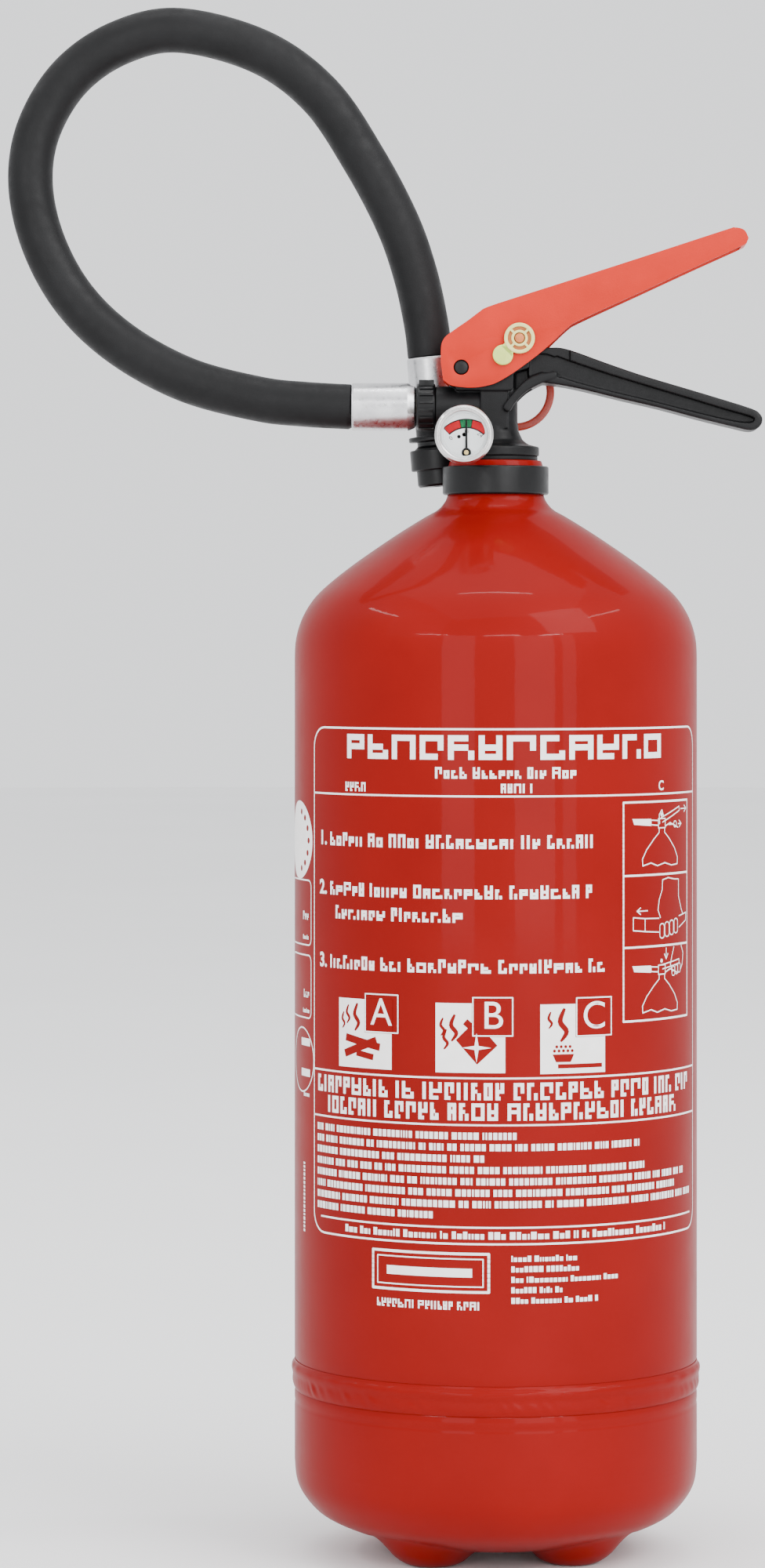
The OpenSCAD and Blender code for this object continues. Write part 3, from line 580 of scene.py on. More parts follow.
# -------- valve
valve = join("valve_casting", [
    lathe("v1", rounded([
        (0, 432, 0), (14.6, 432, 0), (14.6, 435.1, 0), (17.3, 435.1, 0.5), (17.3, 438.8, 0.5), (13.2, 439.8, 1.5),
        (10.8, 441.6, 2), (9.2, 445, 3), (8.7, 449, 0), (8.7, 470, 0), (0, 470, 0)], 4), black_cast, None),
    rod("v2", (-24, 0, OUT_Z), (2, 0, OUT_Z), 8.2, black_cast, None),
    plate("v3", rounded([
        (-16, 461, 1), (7, 461, 1), (7.2, 468, 1), (13.5, 470, 1), (13.5, 484.5, 1), (11.5, 486, 1), (-7, 485, 2),
        (-13.6, 478, 2)], 3), -9.6, 9.6, black_cast, None),
    rod("v4", (PIVOT_X, -9.6, PIVOT_Z), (PIVOT_X, 9.6, PIVOT_Z), 8, black_cast, None),
    box_object("v5", (-6, -8.9, 446), (5, 0, 461), black_cast, None),
    rod("v6", (-12.3, -26, 442.3), (-12.3, 0, 442.3), 5.5, black_cast, None),
], black_cast, ROOT)
cast(valve, 0.35)
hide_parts("valve_body")

pin = rod("pivot_pin_end", (PIVOT_X, -11.55, PIVOT_Z), (PIVOT_X, 11.55, PIVOT_Z), 2.72, black_moulded, ROOT, edge=0.5)
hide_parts("lever_pivot_pin")

# -------- lever
lever_top = [(-21.7, 472), (-21.6, 478), (-20.7, 481), (-18.3, 483.5), (-10.6, 488.9), (-6.5, 492), (-3.3, 493.9),
             (8.5, 497.8), (28.4, 504.1), (55.6, 512.8), (90, 524), (94.5, 525.2), (98.3, 524.2), (100, 521)]
lever_low = [(99.2, 519), (95.6, 517.2), (78.3, 509.4), (55.6, 498.9), (33.8, 488.9), (28.4, 485.6), (19.3, 477.1),
             (8.5, 468.9), (1.2, 464.4), (-3, 462.9), (-7.9, 462.1), (-13, 462.2), (-17.8, 463), (-20.8, 465.2)]


def lever_mesh():
    """A channel that is open below, with round top edges and holes for the pivot and the safety pin."""
    o = plate("squeeze_lever", points(lever_top, 4) + points(lever_low, 4), -12, 12, lever_red, "lever")
    top = {(round(x * MM, 6), round(z * MM, 6)) for x, z in points(lever_top, 4)}

    def on_top(v):
        return (round(v.co.x, 6), round(v.co.z, 6)) in top

    round_edges(o, lambda e: level(e) and on_top(e.verts[0]) and on_top(e.verts[1]), 3.0, 5)
    inner = points([
        (-26, 474), (-18.9, 477.5), (-17, 481.6), (-9.6, 486.8), (-2.6, 491.9), (9, 495.8), (29, 502.1), (56, 510.8),
        (89.5, 521.6), (94, 522.6), (96.5, 521.5), (97.2, 519.6)], 3) + [(97.2, 440), (-26, 440)]
    cut(o, plate("hollow", inner, -10, 10, lever_red, None))
    for x, z, r in ((PIVOT_X, PIVOT_Z, 3.05), (PIN_X, PIN_Z, 2.3)):
        cut(o, rod("hole", (x, -20, z), (x, 20, z), r, lever_red, None, edge=0.01))
    return soften(o, 0.35)


lever = lever_mesh()
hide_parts("operating_lever")

# -------- carry handle
handle_line = [
    (13.6, 479), (20.5, 478), (25.7, 477.9), (31.8, 476.2), (42.2, 472.4), (57.2, 467.2), (72.1, 462.7),
    (87.1, 458.2), (101.3, 453.7), (104.6, 451.6), (105.6, 449.4), (104.6, 446.7), (101.3, 445), (94.6, 446.3),
    (79.6, 450), (64.7, 454), (49.7, 457.5), (34.7, 461.2), (25.7, 463), (18.4, 463.8), (13.6, 463)]
leg_line = [
    (24, 466), (18.4, 463.8), (12.3, 460.5), (7.8, 456), (6, 453), (4.4, 452.4), (3.2, 453.2), (3, 454.9),
    (7, 460.1), (12.3, 465.4), (18.4, 467.6), (24, 468.4)]
recess = [
    (23.5, 474.2), (25.7, 474.1), (30, 472.5), (43.2, 468.0), (60.4, 462.7), (75.5, 458.2), (91.6, 453.3),
    (100.2, 450.9), (102.5, 449.5), (100.2, 448), (91.6, 449.2), (75.5, 453.1), (60.4, 457), (46.5, 460.3),
    (32.5, 464), (26, 466.1), (23.5, 466.7)]


def handle_mesh():
    """The grip with its recessed sides, the lug that holds it in the valve and the two curled legs."""
    def solid(line, y0, y1, r):
        o = plate("h", points(line, 3, closed=True), y0, y1, black_cast, None)
        round_edges(o, level, r, 3)
        return o

    body = solid(handle_line, -11, 11, 1.1)
    for y0, y1 in ((-12, -7.6), (7.6, 12)):
        cut(body, plate("r", points(recess, 3, closed=True), y0, y1, black_cast, None))
    lug = [(14, 463), (12.3, 460.9), (7.6, 460.9), (7.6, 468.4), (13.4, 469.8), (14, 470)]
    root = [(13.2, 466.3), (18.4, 468.1), (24.5, 467.2), (24.5, 473.9), (20.5, 475.4), (13.2, 475.6)]
    for y0, y1 in ((-13, -7.6), (7.6, 13)):
        cut(body, plate("r", root, y0, y1, black_cast, None))
    for y0, y1 in ((-12, -9.6), (9.6, 12)):
        cut(body, box_object("c", (10, y0, 468.4), (29.5, y1, 482), black_cast, None))
    legs = [solid(leg_line, -11.6, -9, 0.9), solid(leg_line, 9, 11.6, 0.9)]
    o = join("carry_handle_casting", [body, plate("lug", lug, -4, 4, black_cast, None), *legs], black_cast, ROOT)
    return cast(o, 0.38)


handle = handle_mesh()
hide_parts("carry_handle", "handle_rivet")

# -------- safety pin, ring and seal
RING_X, RING_Y = 8, 20  # where the pull ring hangs
pin_o = join("safety_pin_rod", [
    rod("p1", (PIN_X, -14.6, PIN_Z), (PIN_X, 18.5, PIN_Z), 1.95, pin_brown, None, edge=0.7),
    rod("p2", (PIN_X, 12.8, PIN_Z), (PIN_X, 14.4, PIN_Z), 3.6, pin_brown, None),
    lathe("p3", [(2.2 + 1.6 * (1 + math.cos(a)) / 2, 1.5 * math.sin(a)) for a in turn(16)],
          pin_brown, None, along((RING_X, RING_Y, 475.6), (1, 0, 0)), 32),
    tube("p4", [(9.3, 18.2, 481.5), (9.0, 19.4, 480.9), (8.2, 20, 479.2), (8, 20, 478.0)], 1.7, pin_brown, None, 24),
], pin_brown, "safety_pin")
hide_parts("safety_pin")

ring_prof = rounded([(12.4, -1.3, 0.9), (15.6, -1.3, 0.9), (15.6, 1.3, 0.9), (12.4, 1.3, 0.9)], 4)
ring = lathe("pull_ring_loop", ring_prof, ring_red, "pull_ring", along((RING_X, RING_Y, 461.6), (0, 1, 0)), 128)
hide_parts("pull_ring")

SEAL_Y = -14.2  # the seal's front


def seal_mesh():
    """Two rings joined by four ribs."""
    place = facing(PIN_X, PIN_Z, SEAL_Y)
    outer = rounded([(4.65, 0, 0.15), (6.1, 0, 0.5), (6.1, 2.0, 0.2), (4.65, 2.0, 0.1)], 4)
    inner = rounded([(2.2, 0, 0.3), (3.27, 0, 0.3), (3.27, 2.0, 0.1), (2.2, 2.0, 0.1)], 4)
    parts = [lathe("s1", outer, seal_mat, None, place, 96), lathe("s2", inner, seal_mat, None, place, 96)]
    for a in (45, 135, 225, 315):
        c, s = math.cos(math.radians(a)), math.sin(math.radians(a))
        b = box_object("rib", (3.0, -0.45, 0.15), (4.9, 0.45, 1.9), seal_mat, None)
        b.data.transform(Matrix(
            ((c, -s, 0, PIN_X * MM), (0, 0, 1, SEAL_Y * MM), (s, c, 0, PIN_Z * MM), (0, 0, 0, 1))))
        parts.append(b)
    return join("tamper_seal_disc", parts, seal_mat, "tamper_seal")


seal = seal_mesh()
join("tamper_seal_tab", [
    lathe("t1", rounded([(0, 0, 0), (4.05, 0, 0.5), (4.05, 1.5, 0.2), (0, 1.5, 0)], 4), tab_mat, None,
          facing(2.9, 474.9, SEAL_Y + 0.5), 64),
    plate("t2", [(2.2, 478.4), (4.6, 480.3), (7.6, 477.2), (6.4, 474.4)], SEAL_Y + 0.5, SEAL_Y + 2, tab_mat, None),
], tab_mat, "tamper_seal")
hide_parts("tamper_seal")
lathe("seal_backing", [(0, 0), (4.9, 0), (4.9, 0.3), (0, 0.3)], pin_brown, "tamper_seal",
      facing(PIN_X, PIN_Z, -12.55), 48, closed=False)

# -------- gauge
GX, GZ, GY = -12.3, 442.3, -45  # the gauge's axis and its front
NX, NZ = GX + 0.9, GZ - 7.0  # the needle's pivot
PRINT_Y = GY + 2.94  # the dial's print
front = facing(GX, GZ, GY)
bezel = lathe("gauge_bezel_ring", rounded([
    (9.2, 0.35, 0.2), (9.7, 0, 0.4), (10.6, 0.05, 0.6), (11.5, 1.0, 0.8), (11.5, 4.4, 0.2), (10.95, 4.4, 0),
    (10.95, 0.8, 0), (9.2, 0.8, 0.1)], 5), steel, ROOT, front, 128)
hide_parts("gauge_bezel")
case = lathe("gauge_case_cup", rounded([
    (10, 2.0, 0), (10.9, 2.0, 0), (10.9, 14.2, 0.8), (1.2, 14.4, 0), (1.2, 13.5, 0), (10, 13.5, 0.3)], 4),
    steel, ROOT, front, 96)
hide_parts("gauge_case")
lathe("gauge_inner_ring", rounded([(8.35, 1.95, 0.2), (9.95, 1.8, 0.1), (9.95, 2.9, 0), (8.2, 2.9, 0.1)], 4),
      dial_white, ROOT, front, 96)
glass = lathe("gauge_window", [(0, 0.85), (10.8, 0.85), (10.8, 1.6), (0, 1.6)], clear, ROOT, front, 96, closed=False)
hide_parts("gauge_glass")
dial = lathe("gauge_dial_face", [(0.8, 3.0), (9.95, 3.0), (9.95, 3.5), (0.8, 3.5)], dial_white, ROOT, front, 96)
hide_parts("gauge_dial")


def sector(name, r0, r1, a0, a1, mat, y=PRINT_Y - 0.02):
    """A flat band round the needle's pivot, angles clockwise from straight up."""
    n, verts, faces = 24, [], []
    for i in range(n + 1):
        a = math.radians(a0 + (a1 - a0) * i / n)
        for r in (r0, r1):
            verts.append((NX + r * math.sin(a), y, NZ + r * math.cos(a)))
    for i in range(n):
        faces.append([2 * i, 2 * i + 1, 2 * i + 3, 2 * i + 2])
    return new_object(name, verts, faces, mat, ROOT)


sector("dial_band_edge", 9.45, 13.2, -43.6, 44.6, ink, PRINT_Y)
sector("dial_low_band", 9.95, 12.75, -42, -12.5, dial_red)
sector("dial_good_band_left", 9.95, 12.75, -11, -0.6, dial_green)
sector("dial_good_band_right", 9.95, 12.75, 0.6, 10, dial_green)
sector("dial_high_band", 9.95, 12.75, 11.5, 42.5, dial_red)


def numeral(name, text, x, z, size, turned=0.0):
    """A numeral on the dial, turned clockwise."""
    me = text_mesh(name, text, size)
    a = math.radians(turned)
    for v in me.vertices:
        u, w = v.co.x, v.co.y
        v.co = ((x + u * math.cos(a) + w * math.sin(a)) * MM, PRINT_Y * MM,
                (z - u * math.sin(a) + w * math.cos(a)) * MM)
    return wrap(name, me, ink, ROOT, False)


numeral("dial_numeral_low", "0", NX - 6.0, NZ + 5.6, 2.3, -48)
numeral("dial_numeral_mid", "15", NX, NZ + 8.3, 2.0)
numeral("dial_numeral_high", "24", NX + 5.3, NZ + 6.9, 2.3, 46)
lathe("dial_dot", [(0, 0), (0.7, 0), (0.7, 0.04), (0, 0.04)], ink, ROOT,
      facing(NX - 2.9, NZ + 6.2, PRINT_Y - 0.02), 24, closed=False)

needle = join("gauge_pointer", [
    lathe("n1", rounded([(0, 0, 0), (1.3, 0, 0.3), (1.8, 0.3, 0.2), (1.8, 0.62, 0), (0, 0.62, 0)], 3), ink, None,
          facing(NX, NZ, GY + 2.1), 48),
    plate("n2", [(NX - 0.45, NZ - 1), (NX + 0.45, NZ - 1), (NX + 0.32, NZ + 12.4), (NX - 0.32, NZ + 12.4)],
          GY + 2.25, GY + 2.5, ink, None),
    rod("n3", (NX, GY + 2.5, NZ), (NX, GY + 6, NZ), 0.68, ink, None, edge=0.05),
], ink, "gauge_needle")
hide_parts("gauge_needle")
lathe("pointer_hub", rounded([(0, -0.12, 0), (0.8, -0.12, 0.25), (1.05, 0.15, 0.1), (0, 0.15, 0)], 3), brass,
      "gauge_needle", facing(NX, NZ, GY + 2.08), 32)

# -------- outlet union and nozzle holder
def union_mesh():
    """A ring with 18 grip ribs and a lug on top."""
    parts = [lathe("u1", rounded([
        (5, 0, 0), (8.9, 0, 0.5), (9.3, 0.8, 0.2), (9.3, 6.7, 0.2), (8.9, 7.5, 0.4), (5, 7.5, 0)], 4),
        black_moulded, None, along((-31.5, 0, OUT_Z), (1, 0, 0)), 96)]
    for k in range(18):
        a = 2 * math.pi * k / 18
        b = box_object("rib", (-30.3, -0.75, 8.9), (-24.7, 0.75, 9.85), black_moulded, None)
        b.data.transform(Matrix.Translation((0, 0, OUT_Z * MM)) @ Matrix.Rotation(a, 4, "X"))
        parts.append(b)
    parts.append(box_object("lug", (-30.5, -4.4, OUT_Z + 8), (-24.5, -0.4, OUT_Z + 10.6), black_moulded, None))
    return soften(join("outlet_union_ring", parts, black_moulded, ROOT), 0.2)


union = union_mesh()
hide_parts("outlet_nut")

clip = join("nozzle_holder_clip", [
    lathe("c1", rounded([(9.5, 0, 0.2), (11.5, 0, 0.6), (11.5, 8.4, 0.6), (9.5, 8.4, 0.2)], 5), black_moulded, None,
          along(MOUTH + 6.6 * AXIS, AXIS), 96),
    box_object("c2", (-15.5, 11.5, 435.5), (-10.5, 16.5, 438.6), black_moulded, None),
], black_moulded, ROOT)
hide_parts("nozzle_clip")

# -------- printed label: plain bars and simple signs
LIFT = 0.07  # the ink, off the wall
TOP_INK = LIFT + 0.12  # ink over a drawing that is over ink
THIN = 0.45  # the width of a drawn stroke
STEP = 2  # the longest flat piece of a curved stroke


def onto_cylinder(o, lift=LIFT):
    """Bends a flat mesh of (arc length, height) in millimetres onto the cylinder's front."""
    for v in o.data.vertices:
        a = v.co.x / MM / R
        r = R + lift
        v.co = (r * math.sin(a) * MM, -r * math.cos(a) * MM, v.co.z)
    o.data.update()
    shade(o, True)
    return o


class Sheet:
    """Collects flat shapes, given as (u, z) in millimetres, then bends them onto the cylinder as one piece."""

    def __init__(self, name, mat, lift=LIFT):
        self.name, self.mat, self.lift, self.v, self.f = name, mat, lift, [], []

    def quad(self, pts):
        n = len(self.v)
        self.v += [(u, 0, z) for u, z in pts]
        self.f.append([n, n + 1, n + 2, n + 3])

    def bar(self, u0, z0, u1, z1):
        steps = max(1, math.ceil(abs(u1 - u0) / STEP))
        for i in range(steps):
            a, b = u0 + (u1 - u0) * i / steps, u0 + (u1 - u0) * (i + 1) / steps
            self.quad([(a, z0), (b, z0), (b, z1), (a, z1)])

    def line(self, pts, w, closed=False):
        """A stroke of width w with square joints."""
        pts = list(pts)
        if closed:
            pts.append(pts[0])
        p = []
        for (u0, z0), (u1, z1) in zip(pts, pts[1:]):
            n = max(1, math.ceil(math.hypot(u1 - u0, z1 - z0) / STEP))
            p += [(u0 + (u1 - u0) * i / n, z0 + (z1 - z0) * i / n) for i in range(n)]
        p.append(pts[-1])
        for (u0, z0), (u1, z1) in zip(p, p[1:]):
            d = math.hypot(u1 - u0, z1 - z0) or 1
            e = 0.25 * w / d
            tu, tz = (u1 - u0) * e, (z1 - z0) * e
            nu, nz = -(z1 - z0) / d * w / 2, (u1 - u0) / d * w / 2
            self.quad([(u0 - tu - nu, z0 - tz - nz), (u1 + tu - nu, z1 + tz - nz),
                       (u1 + tu + nu, z1 + tz + nz), (u0 - tu + nu, z0 - tz + nz)])

    def frame(self, u0, z0, u1, z1, w, corner=0.0):
        """An outlined box, which may have round corners."""
        self.line(rounded([(u, z, corner) for u, z in ((u0, z0), (u1, z0), (u1, z1), (u0, z1))], 6), w, closed=True)

    def disc(self, u, z, r, n=28):
        for i in range(n // 2):
            a, b = math.pi * i / (n // 2), math.pi * (i + 1) / (n // 2)
            self.quad([(u + r * math.cos(a), z + r * math.sin(a)), (u + r * math.cos(b), z + r * math.sin(b)),
                       (u + r * math.cos(b), z - r * math.sin(b)), (u + r * math.cos(a), z - r * math.sin(a))])

    def fill(self, pts):
        """A convex patch, in upright strips so that it can follow the curve."""
        def span(u):
            cross = []
            for (u0, z0), (u1, z1) in zip(pts, pts[1:] + pts[:1]):
                if min(u0, u1) - 1e-9 <= u <= max(u0, u1) + 1e-9:
                    cross += [z0, z1] if abs(u1 - u0) < 1e-9 else [z0 + (z1 - z0) * (u - u0) / (u1 - u0)]
            return min(cross), max(cross)
        lo, hi = min(p[0] for p in pts), max(p[0] for p in pts)
        cuts = sorted({lo, hi, *[p[0] for p in pts], *np.arange(lo, hi, 1.5).tolist()})
        for a, b in zip(cuts, cuts[1:]):
            (a0, a1), (b0, b1) = span(a), span(b)
            self.quad([(a, a0), (b, b0), (b, b1), (a, a1)])

    def sign(self, u0, z0, u1, z1, t, kind):
        """A made-up character of upright and level strokes."""
        mid = (z0 + z1 - t) / 2
        self.bar(u0, z0, u0 + t, z1)
        if u1 - u0 < 2 * t:
            return
        low, high = ((z0, z1), (z0, mid), (mid, z1))[kind % 3]
        self.bar(u1 - t, low, u1, high)
        for z in ((z1 - t,), (z0, z1 - t), (mid, z1 - t), (z0, mid))[kind % 4]:
            self.bar(u0 + t, z, u1 - t, z + t)

    def words(self, u0, u1, z0, h, seed, caps=False):
        """A line of made-up characters, plain blocks where it is small, that says nothing."""
        r = random.Random(seed)
        u, left, first = u0, r.randint(3, 9), True
        while u < u1 - 0.3 * h:
            w = min(h * 0.56 * r.choice((0.45, 0.9, 1.0, 1.0, 1.1, 1.35)), u1 - u)
            tall = caps or first or r.random() < 0.25
            top = z0 + h * (1 if tall else 0.72)
            if h > 3:
                self.sign(u, z0, u + w, top, 0.21 * h, r.randrange(12))
            else:
                self.bar(u, z0, u + w, top)
            u += w + h * 0.17
            left, first = left - 1, False
            if left <= 0:
                u += h * 0.38
                left, first = r.randint(2, 10), True

    def make(self):
        return onto_cylinder(new_object(self.name, self.v, self.f, self.mat, ROOT), self.lift)


lines = Sheet("label_frame_lines", white_ink)
lines.frame(-86.9, 131.6, 105.3, 328.3, 0.75, 8)
for z in (302.3, 194.6, 176.7):
    lines.bar(-86.6, z, 105, z + 0.7)
lines.line([(-81, 137.9), (100, 137.9)], 0.7)
lines.make()

title = Sheet("label_title_characters", white_ink)
u = -64.0
for k, w in enumerate((9.2, 9.6, 10.2, 9.6, 10.2, 9.0, 11.2, 9.8, 10.2, 10.0, 9.6, 10.4)):
    title.sign(u, 316.6, u + w, 326.0, 2.3, 5 * k + 2)
    u += w + 1.75
title.make()
rows = Sheet("label_text_blocks", white_ink)
for row in (
    (-23.5, 33.5, 309.4, 4.4, 3),
    (-65, -53.5, 303.9, 3.6, 5, True),
    (2, 14.6, 303.9, 3.6, 8, True),
    (-74.5, 40, 282.6, 5.2, 11),
    (-74.5, 38.5, 263.4, 5.2, 13),
    (-71, -10, 254.3, 5.2, 17),
    (-74.5, 44, 235.0, 5.2, 19),
    (-83.5, 98, 186.6, 6.6, 23, True),
    (-76, 88, 178.8, 6.6, 29, True),
):
    rows.words(*row)
for i, end in enumerate((8, 62, -4, 64, 92, 84, 101, -24)):
    rows.words(-84, end, 171.5 - 4.35 * i, 2.7, 31 + i, True)
rows.words(-65, 77, 133.4, 2.9, 43)
for i, end in enumerate((32, 33, 51, 26, 42)):
    rows.words(6, end, 124.9 - 4.0 * i, 2.3, 47 + i)
rows.words(-48.5, -5, 106.3, 3.2, 53, True)
rows.make()


def letters(name, text, u, z, size, bold=0.0, lift=LIFT):
    """A plain letter or number on the cylinder."""
    me = text_mesh(name, text, size, bold)
    for v in me.vertices:
        v.co = ((u + v.co.x) * MM, 0, (z + v.co.y) * MM)
    return onto_cylinder(wrap(name, me, white_ink, ROOT, False), lift)


for i, z in enumerate((285.2, 266, 237.6)):
    letters(f"label_step_{i + 1}", f"{i + 1}.", -79.5, z, 7.6, 0.25)
letters("label_rating_c", "C", 74.5, 305.7, 5.2, 0.1)

# three instruction pictures in a column, in plain outline: pin out, hose held, lever pressed
pics = Sheet("label_instruction_pictures", white_ink)
pics.frame(53, 215.3, 97, 299.7, 0.8)
pics.bar(53, 243.3, 97, 244.1)
pics.bar(53, 271.0, 97, 271.8)


def bottle(s, u, z):
    """An extinguisher's shoulders with its valve and hose end, as an outline."""
    side = [(11.8, 0.6), (12.0, 3.2), (9.6, 6.8), (5.2, 10.8), (1.9, 13.2), (1.9, 15.0)]
    foot = [(-11.8, 0.6), (-7, 1.6), (-3, 0.4), (2, 1.4), (7, 0.3), (11.8, 0.6)]
    for stroke in ([(-x, y) for x, y in side], side, foot):
        s.line([(u + x, z + y) for x, y in stroke], THIN)
    s.frame(u - 2.3, z + 15.0, u + 2.3, z + 18.6, THIN)
    s.line([(u - 2.3, z + 17.9), (u - 7, z + 18.2), (u - 7, z + 16.4), (u - 2.3, z + 16.0)], THIN)
    s.fill([(u - 7, z + 15.9), (u - 7, z + 18.7), (u - 17.5, z + 18.9), (u - 16.5, z + 16.6)])
    s.line([(u + 2.3, z + 15.6), (u + 6, z + 16.8), (u + 12.5, z + 14.8)], 0.5)
    s.disc(u - 0.2, z + 20.2, 0.8, 12)


def arrow(s, u0, z0, u1, z1):
    """An arrow to (u1, z1)."""
    d = math.hypot(u1 - u0, z1 - z0)
    c, n = (u1 - u0) / d, (z1 - z0) / d
    s.line([(u0, z0), (u1, z1)], THIN)
    head = [(u1 - 2 * c + k * n, z1 - 2 * n - k * c) for k in (-1.3, 1.3)]
    s.line([head[0], (u1, z1), head[1]], THIN)


bottle(pics, 75, 274.4)
pics.line([(74.5, 293.4), (88.5, 297.4), (88.8, 295.8), (75.5, 291.6)], THIN)
pics.line([(73.5, 291), (73.2, 294.6), (75, 296.4), (76.2, 293.8)], THIN)
arrow(pics, 90, 296.4, 95.5, 296.4)
pics.line([(80, 290.6), (83.6, 290.6)], 0.5)
pics.line([(85 + 1.2 * math.cos(a), 290.6 + 1.2 * math.sin(a)) for a in turn(12)], 0.4, closed=True)
arrow(pics, 87.8, 290.6, 90.5, 290.6)
# a hand on the hose
pics.line([(75.5, 269.2), (75.2, 265.4), (73.2, 261.6), (72.4, 257.6), (74, 254.6)], THIN)
pics.line([(88, 269.0), (88, 262.4), (90.6, 257.2), (92.2, 255.2)], THIN)
pics.line([(75.5, 269.2), (79.5, 269.9), (84, 269.2), (88, 269.0)], THIN)
pics.line([(58, 250.2), (58, 255.2), (64.5, 254.6), (73, 254.4)], THIN)
pics.line([(58, 250.2), (64.5, 249.6), (73, 249.0)], THIN)
pics.line([(64.5, 249.6), (64.5, 254.6)], THIN)
pics.line([(88.5, 254.6), (95.5, 255.6), (95.2, 252.6), (88.5, 250.2)], THIN)
for k in range(4):
    pics.frame(73.6 + 3.5 * k, 246.6 + 0.5 * k, 76.7 + 3.5 * k, 252.2 + 0.5 * k, 0.45, 1.3)
arrow(pics, 66, 257.6, 60, 257.6)
# the lever pressed by a hand
bottle(pics, 75, 217.6)
pics.line([(74.5, 236.2), (88.5, 237.8), (88.7, 236.2), (75.5, 234.6)], THIN)
arrow(pics, 78, 242.6, 78, 238.4)
pics.line([(84, 242.8), (82.4, 239.4), (81.2, 236.2), (82.8, 233.2)], THIN)
pics.line([(90.5, 243), (92.4, 240), (91.6, 235.6), (89.5, 233.4)], THIN)
for k in range(3):
    pics.frame(82.4 + 2.5 * k, 231.6 + 0.5 * k, 84.7 + 2.5 * k, 235.2 + 0.5 * k, 0.4, 1.0)
pics.make()

# three class signs: white squares with red drawings, each with a small framed letter
squares = Sheet("label_class_squares", white_ink)
over = Sheet("label_class_drawings", red, LIFT + 0.06)
badge = Sheet("label_class_badge_frames", white_ink, TOP_INK)


def flame(s, u, z, k):
    """A tapering, wavy tongue of fire."""
    c = spline([(u + x * k, z + y * k) for x, y in ((0, 0), (1.5, 2.4), (-0.2, 5.0), (0.9, 8.2))], 5)
    for i, (p, q) in enumerate(zip(c, c[1:])):
        s.line([tuple(p), tuple(q)], k * (0.4 + 1.0 * math.sin(math.pi * (i + 1) / (len(c) + 1))))


def log(s, u0, z0, u1, z1, w):
    """A solid bar of width w between two points."""
    d = math.hypot(u1 - u0, z1 - z0)
    nu, nz = -(z1 - z0) / d * w / 2, (u1 - u0) / d * w / 2
    s.fill([(u0 - nu, z0 - nz), (u1 - nu, z1 - nz), (u1 + nu, z1 + nz), (u0 + nu, z0 + nz)])


for u, z, sign in ((-68.8, 197.2, "A"), (-23.3, 197.0, "B"), (17.2, 196.5, "C")):
    squares.bar(u, z, u + 27, z + 26.6)
    bu, bz = u + 14.6, z + 14.2
    over.bar(bu - 0.4, bz - 0.4, u + 27.4, z + 27)
    badge.frame(bu, bz, bu + 15.2, bz + 14.6, 0.5)
    letters(f"label_class_{sign.lower()}", sign, bu + 7.6, bz + 7.3, 15.0, lift=TOP_INK)
    if sign == "A":
        log(over, u + 3.6, z + 5.2, u + 20, z + 11, 3.0)
        log(over, u + 4.2, z + 11.6, u + 21.6, z + 8.4, 2.9)
        log(over, u + 10, z + 5.8, u + 18.5, z + 4.4, 2.4)
        fires = ((2.2, 15.0, 0.75), (4.8, 17.0, 0.85), (9.2, 14.4, 1.25))
    elif sign == "B":
        over.fill([(u + 8, z + 12.5), (u + 16.2, z + 3.2), (u + 24, z + 10.5), (u + 15.6, z + 20)])
        log(over, u + 11.6, z + 19.6, u + 15.6, z + 16.2, 2.6)
        fires = ((3.4, 9.0, 0.9), (2.2, 14.2, 0.8), (6.4, 12.2, 1.2))
    else:
        over.bar(u + 7, z + 2.0, u + 25.6, z + 3.6)
        over.fill([(u + 6.2, z + 4.4), (u + 12.2, z + 4.4), (u + 13.6, z + 7.4), (u + 4.8, z + 7.4)])
        for j in range(2):
            for k in range(5 - j):
                over.disc(u + 5.6 + 1.8 * k + 0.9 * j, z + 8.7 + 1.6 * j, 0.6, 12)
        fires = ((3.4, 17.4, 0.75), (8.2, 12.4, 1.5))
    for fu, fz, k in fires:
        flame(over, u + fu, z + fz, k)
squares.make()
over.make()
badge.make()
spark = Sheet("label_spark", white_ink, TOP_INK)
su, sz = -7.3, 206.6
for cu, cz in ((5.6, 0.9), (0.9, 5.6)):
    spark.fill([(su - cu, sz), (su, sz - cz), (su + cu, sz), (su, sz + cz)])
spark.make()

# an empty panel below, and the small marks at the left edge
panel = Sheet("label_lower_panel", white_ink)
panel.frame(-50.4, 113.2, -2.6, 127.8, 1.0)
panel.frame(-48.2, 115.2, -4.8, 125.8, 0.5)
panel.bar(-44, 118.8, -9, 122.2)
side = Sheet("label_left_marks", white_ink)
SEAL_U, SEAL_Z = -104, 283.6  # the round mark
side.disc(SEAL_U, SEAL_Z, 15.4, 48)
side.frame(-118, 242.6, -90, 268.0, 0.6, 2.5)
side.frame(-118, 214.0, -90, 238.6, 0.6, 2.5)
side.words(-99, -92, 252.5, 3.4, 61)
side.words(-98, -92, 222, 3.2, 62)
side.words(-99, -91.5, 244.8, 1.8, 63)
side.words(-99, -91.5, 216.0, 1.8, 64)
side.line([(-100 + 12.6 * math.cos(a), 197.4 + 12.6 * math.sin(a)) for a in turn(40)], 0.6, closed=True)
side.bar(-101, 203, -91, 206)
side.bar(-101, 191, -91, 194)
side.words(-98, -91.5, 183.2, 1.8, 65)
panel.make()
side.make()
stars = Sheet("label_left_stars", red, LIFT + 0.04)
for k in range(7):
    a = math.radians(-75 + 25 * k)
    stars.disc(SEAL_U + 11.5 * math.cos(a), SEAL_Z + 11.5 * math.sin(a), 1.2, 12)
stars.make()
upright = Sheet("label_upright_code", white_ink)
r = random.Random(9)
z = 130.0
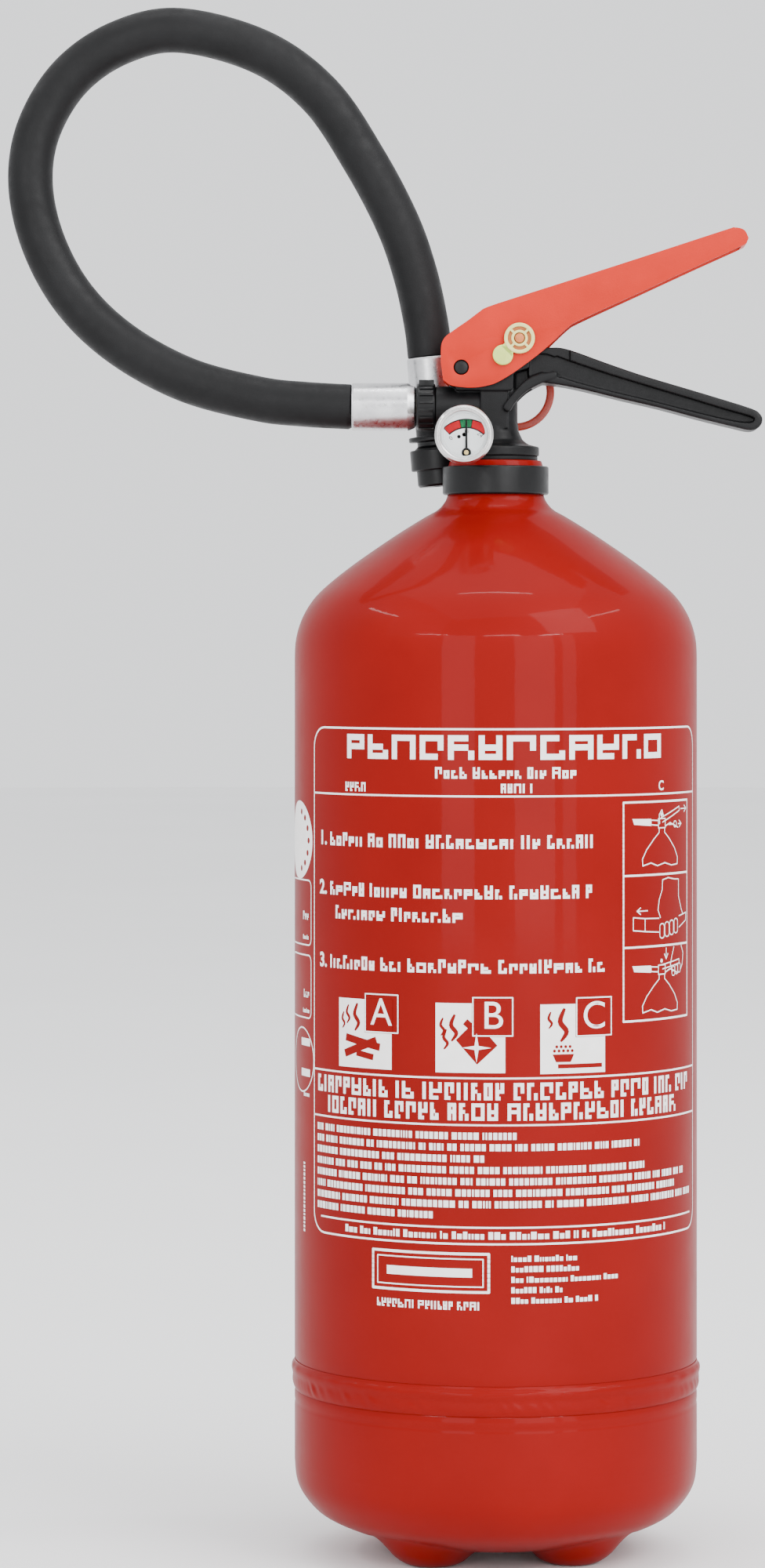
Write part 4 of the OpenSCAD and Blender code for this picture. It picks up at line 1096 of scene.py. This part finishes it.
while z < 157:
    h = r.uniform(0.8, 1.4)
    upright.bar(-98.4, z, -96.4, z + h)
    z += h + 0.5
upright.make()

# -------- the CAD nodes that show as they are
for name, m in {
    "powder_charge": powder_mat, "siphon_tube": nylon, "spring_retainer": nylon, "valve_spring": wire,
    "valve_stem": brass, "stem_seal": rubber, "stem_o_ring": rubber, "gauge_stem": brass, "gauge_coil": brass,
    "outlet_tail": brass, "nozzle_tail": brass,
}.items():
    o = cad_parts[name]
    o.data.materials.clear()
    o.data.materials.append(m)
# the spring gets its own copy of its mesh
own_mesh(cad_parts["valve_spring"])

# -------- stage
floor_mat = finish_of("pale_floor", (0.89, 0.89, 0.89), (0.92, 0.92, 0.92), (0.6, 0.7), scale=1.5, spec=0.2)
FLOOR_R = 9000
rim = [(FLOOR_R * math.cos(a), FLOOR_R * math.sin(a), 0) for a in turn(96)]
floor = new_object("stage_floor", rim, [list(range(len(rim)))], floor_mat, None, angle=60)


def area(name, loc, target, size, power, size_y=None):
    """A soft white lamp at loc that points at target."""
    l = bpy.data.lights.new(name, "AREA")
    l.energy = power
    l.size = size
    if size_y:
        l.shape = "RECTANGLE"
        l.size_y = size_y
    o = bpy.data.objects.new(name, l)
    bpy.context.scene.collection.objects.link(o)
    o.location = loc
    look(o, target)


mid = (0, 0, 0.3)
area("key", (2.0, -1.8, 2.6), mid, 1.8, 70)
area("fill", (-2.1, -1.7, 2.3), mid, 1.9, 5)
area("top", (0.1, -0.5, 3.0), mid, 3.2, 34)


def around(name, az, dist, height, aim, wide, high, power):
    """A lamp at an angle from the front, seen as a reflection in the paint, that points at the axis at a height."""
    a = math.radians(az)
    area(name, (dist * math.sin(a), -dist * math.cos(a), height), (0, 0, aim), wide, power, high)


# tall windows that give soft upright bands
for side_name, az, wide, power in (("left", -21, 1.30, 31), ("right", 22, 1.60, 42), ("far_right", 42, 0.55, 11)):
    around(f"window_{side_name}", az, 4.0, 1.05, 1.05, wide, 2.1, power)
# ceiling tubes that show on the shoulder
TUBE, SHOULDER = 0.07, 0.37  # a tube's width, and the height it points at
for k, (az, wide) in enumerate(((-38, 1.6), (4, 1.7), (33, 1.2))):
    around(f"tube_{k}", az, 4.6, 2.42, SHOULDER, wide, TUBE, 20)
around("tube_left", -86, 2.6, 2.7, SHOULDER, 1.5, TUBE, 12)
around("tube_right", 82, 2.6, 2.7, SHOULDER, 1.5, TUBE, 9)
area("tube_over", (0.0, -0.15, 3.0), mid, 1.2, 10, TUBE)

world = bpy.data.worlds.new("studio")
world.use_nodes = True
sky = world.node_tree.nodes["Background"]
sky.inputs["Color"].default_value = (0.97, 0.98, 1, 1)
sky.inputs["Strength"].default_value = 1.5
bpy.context.scene.world = world
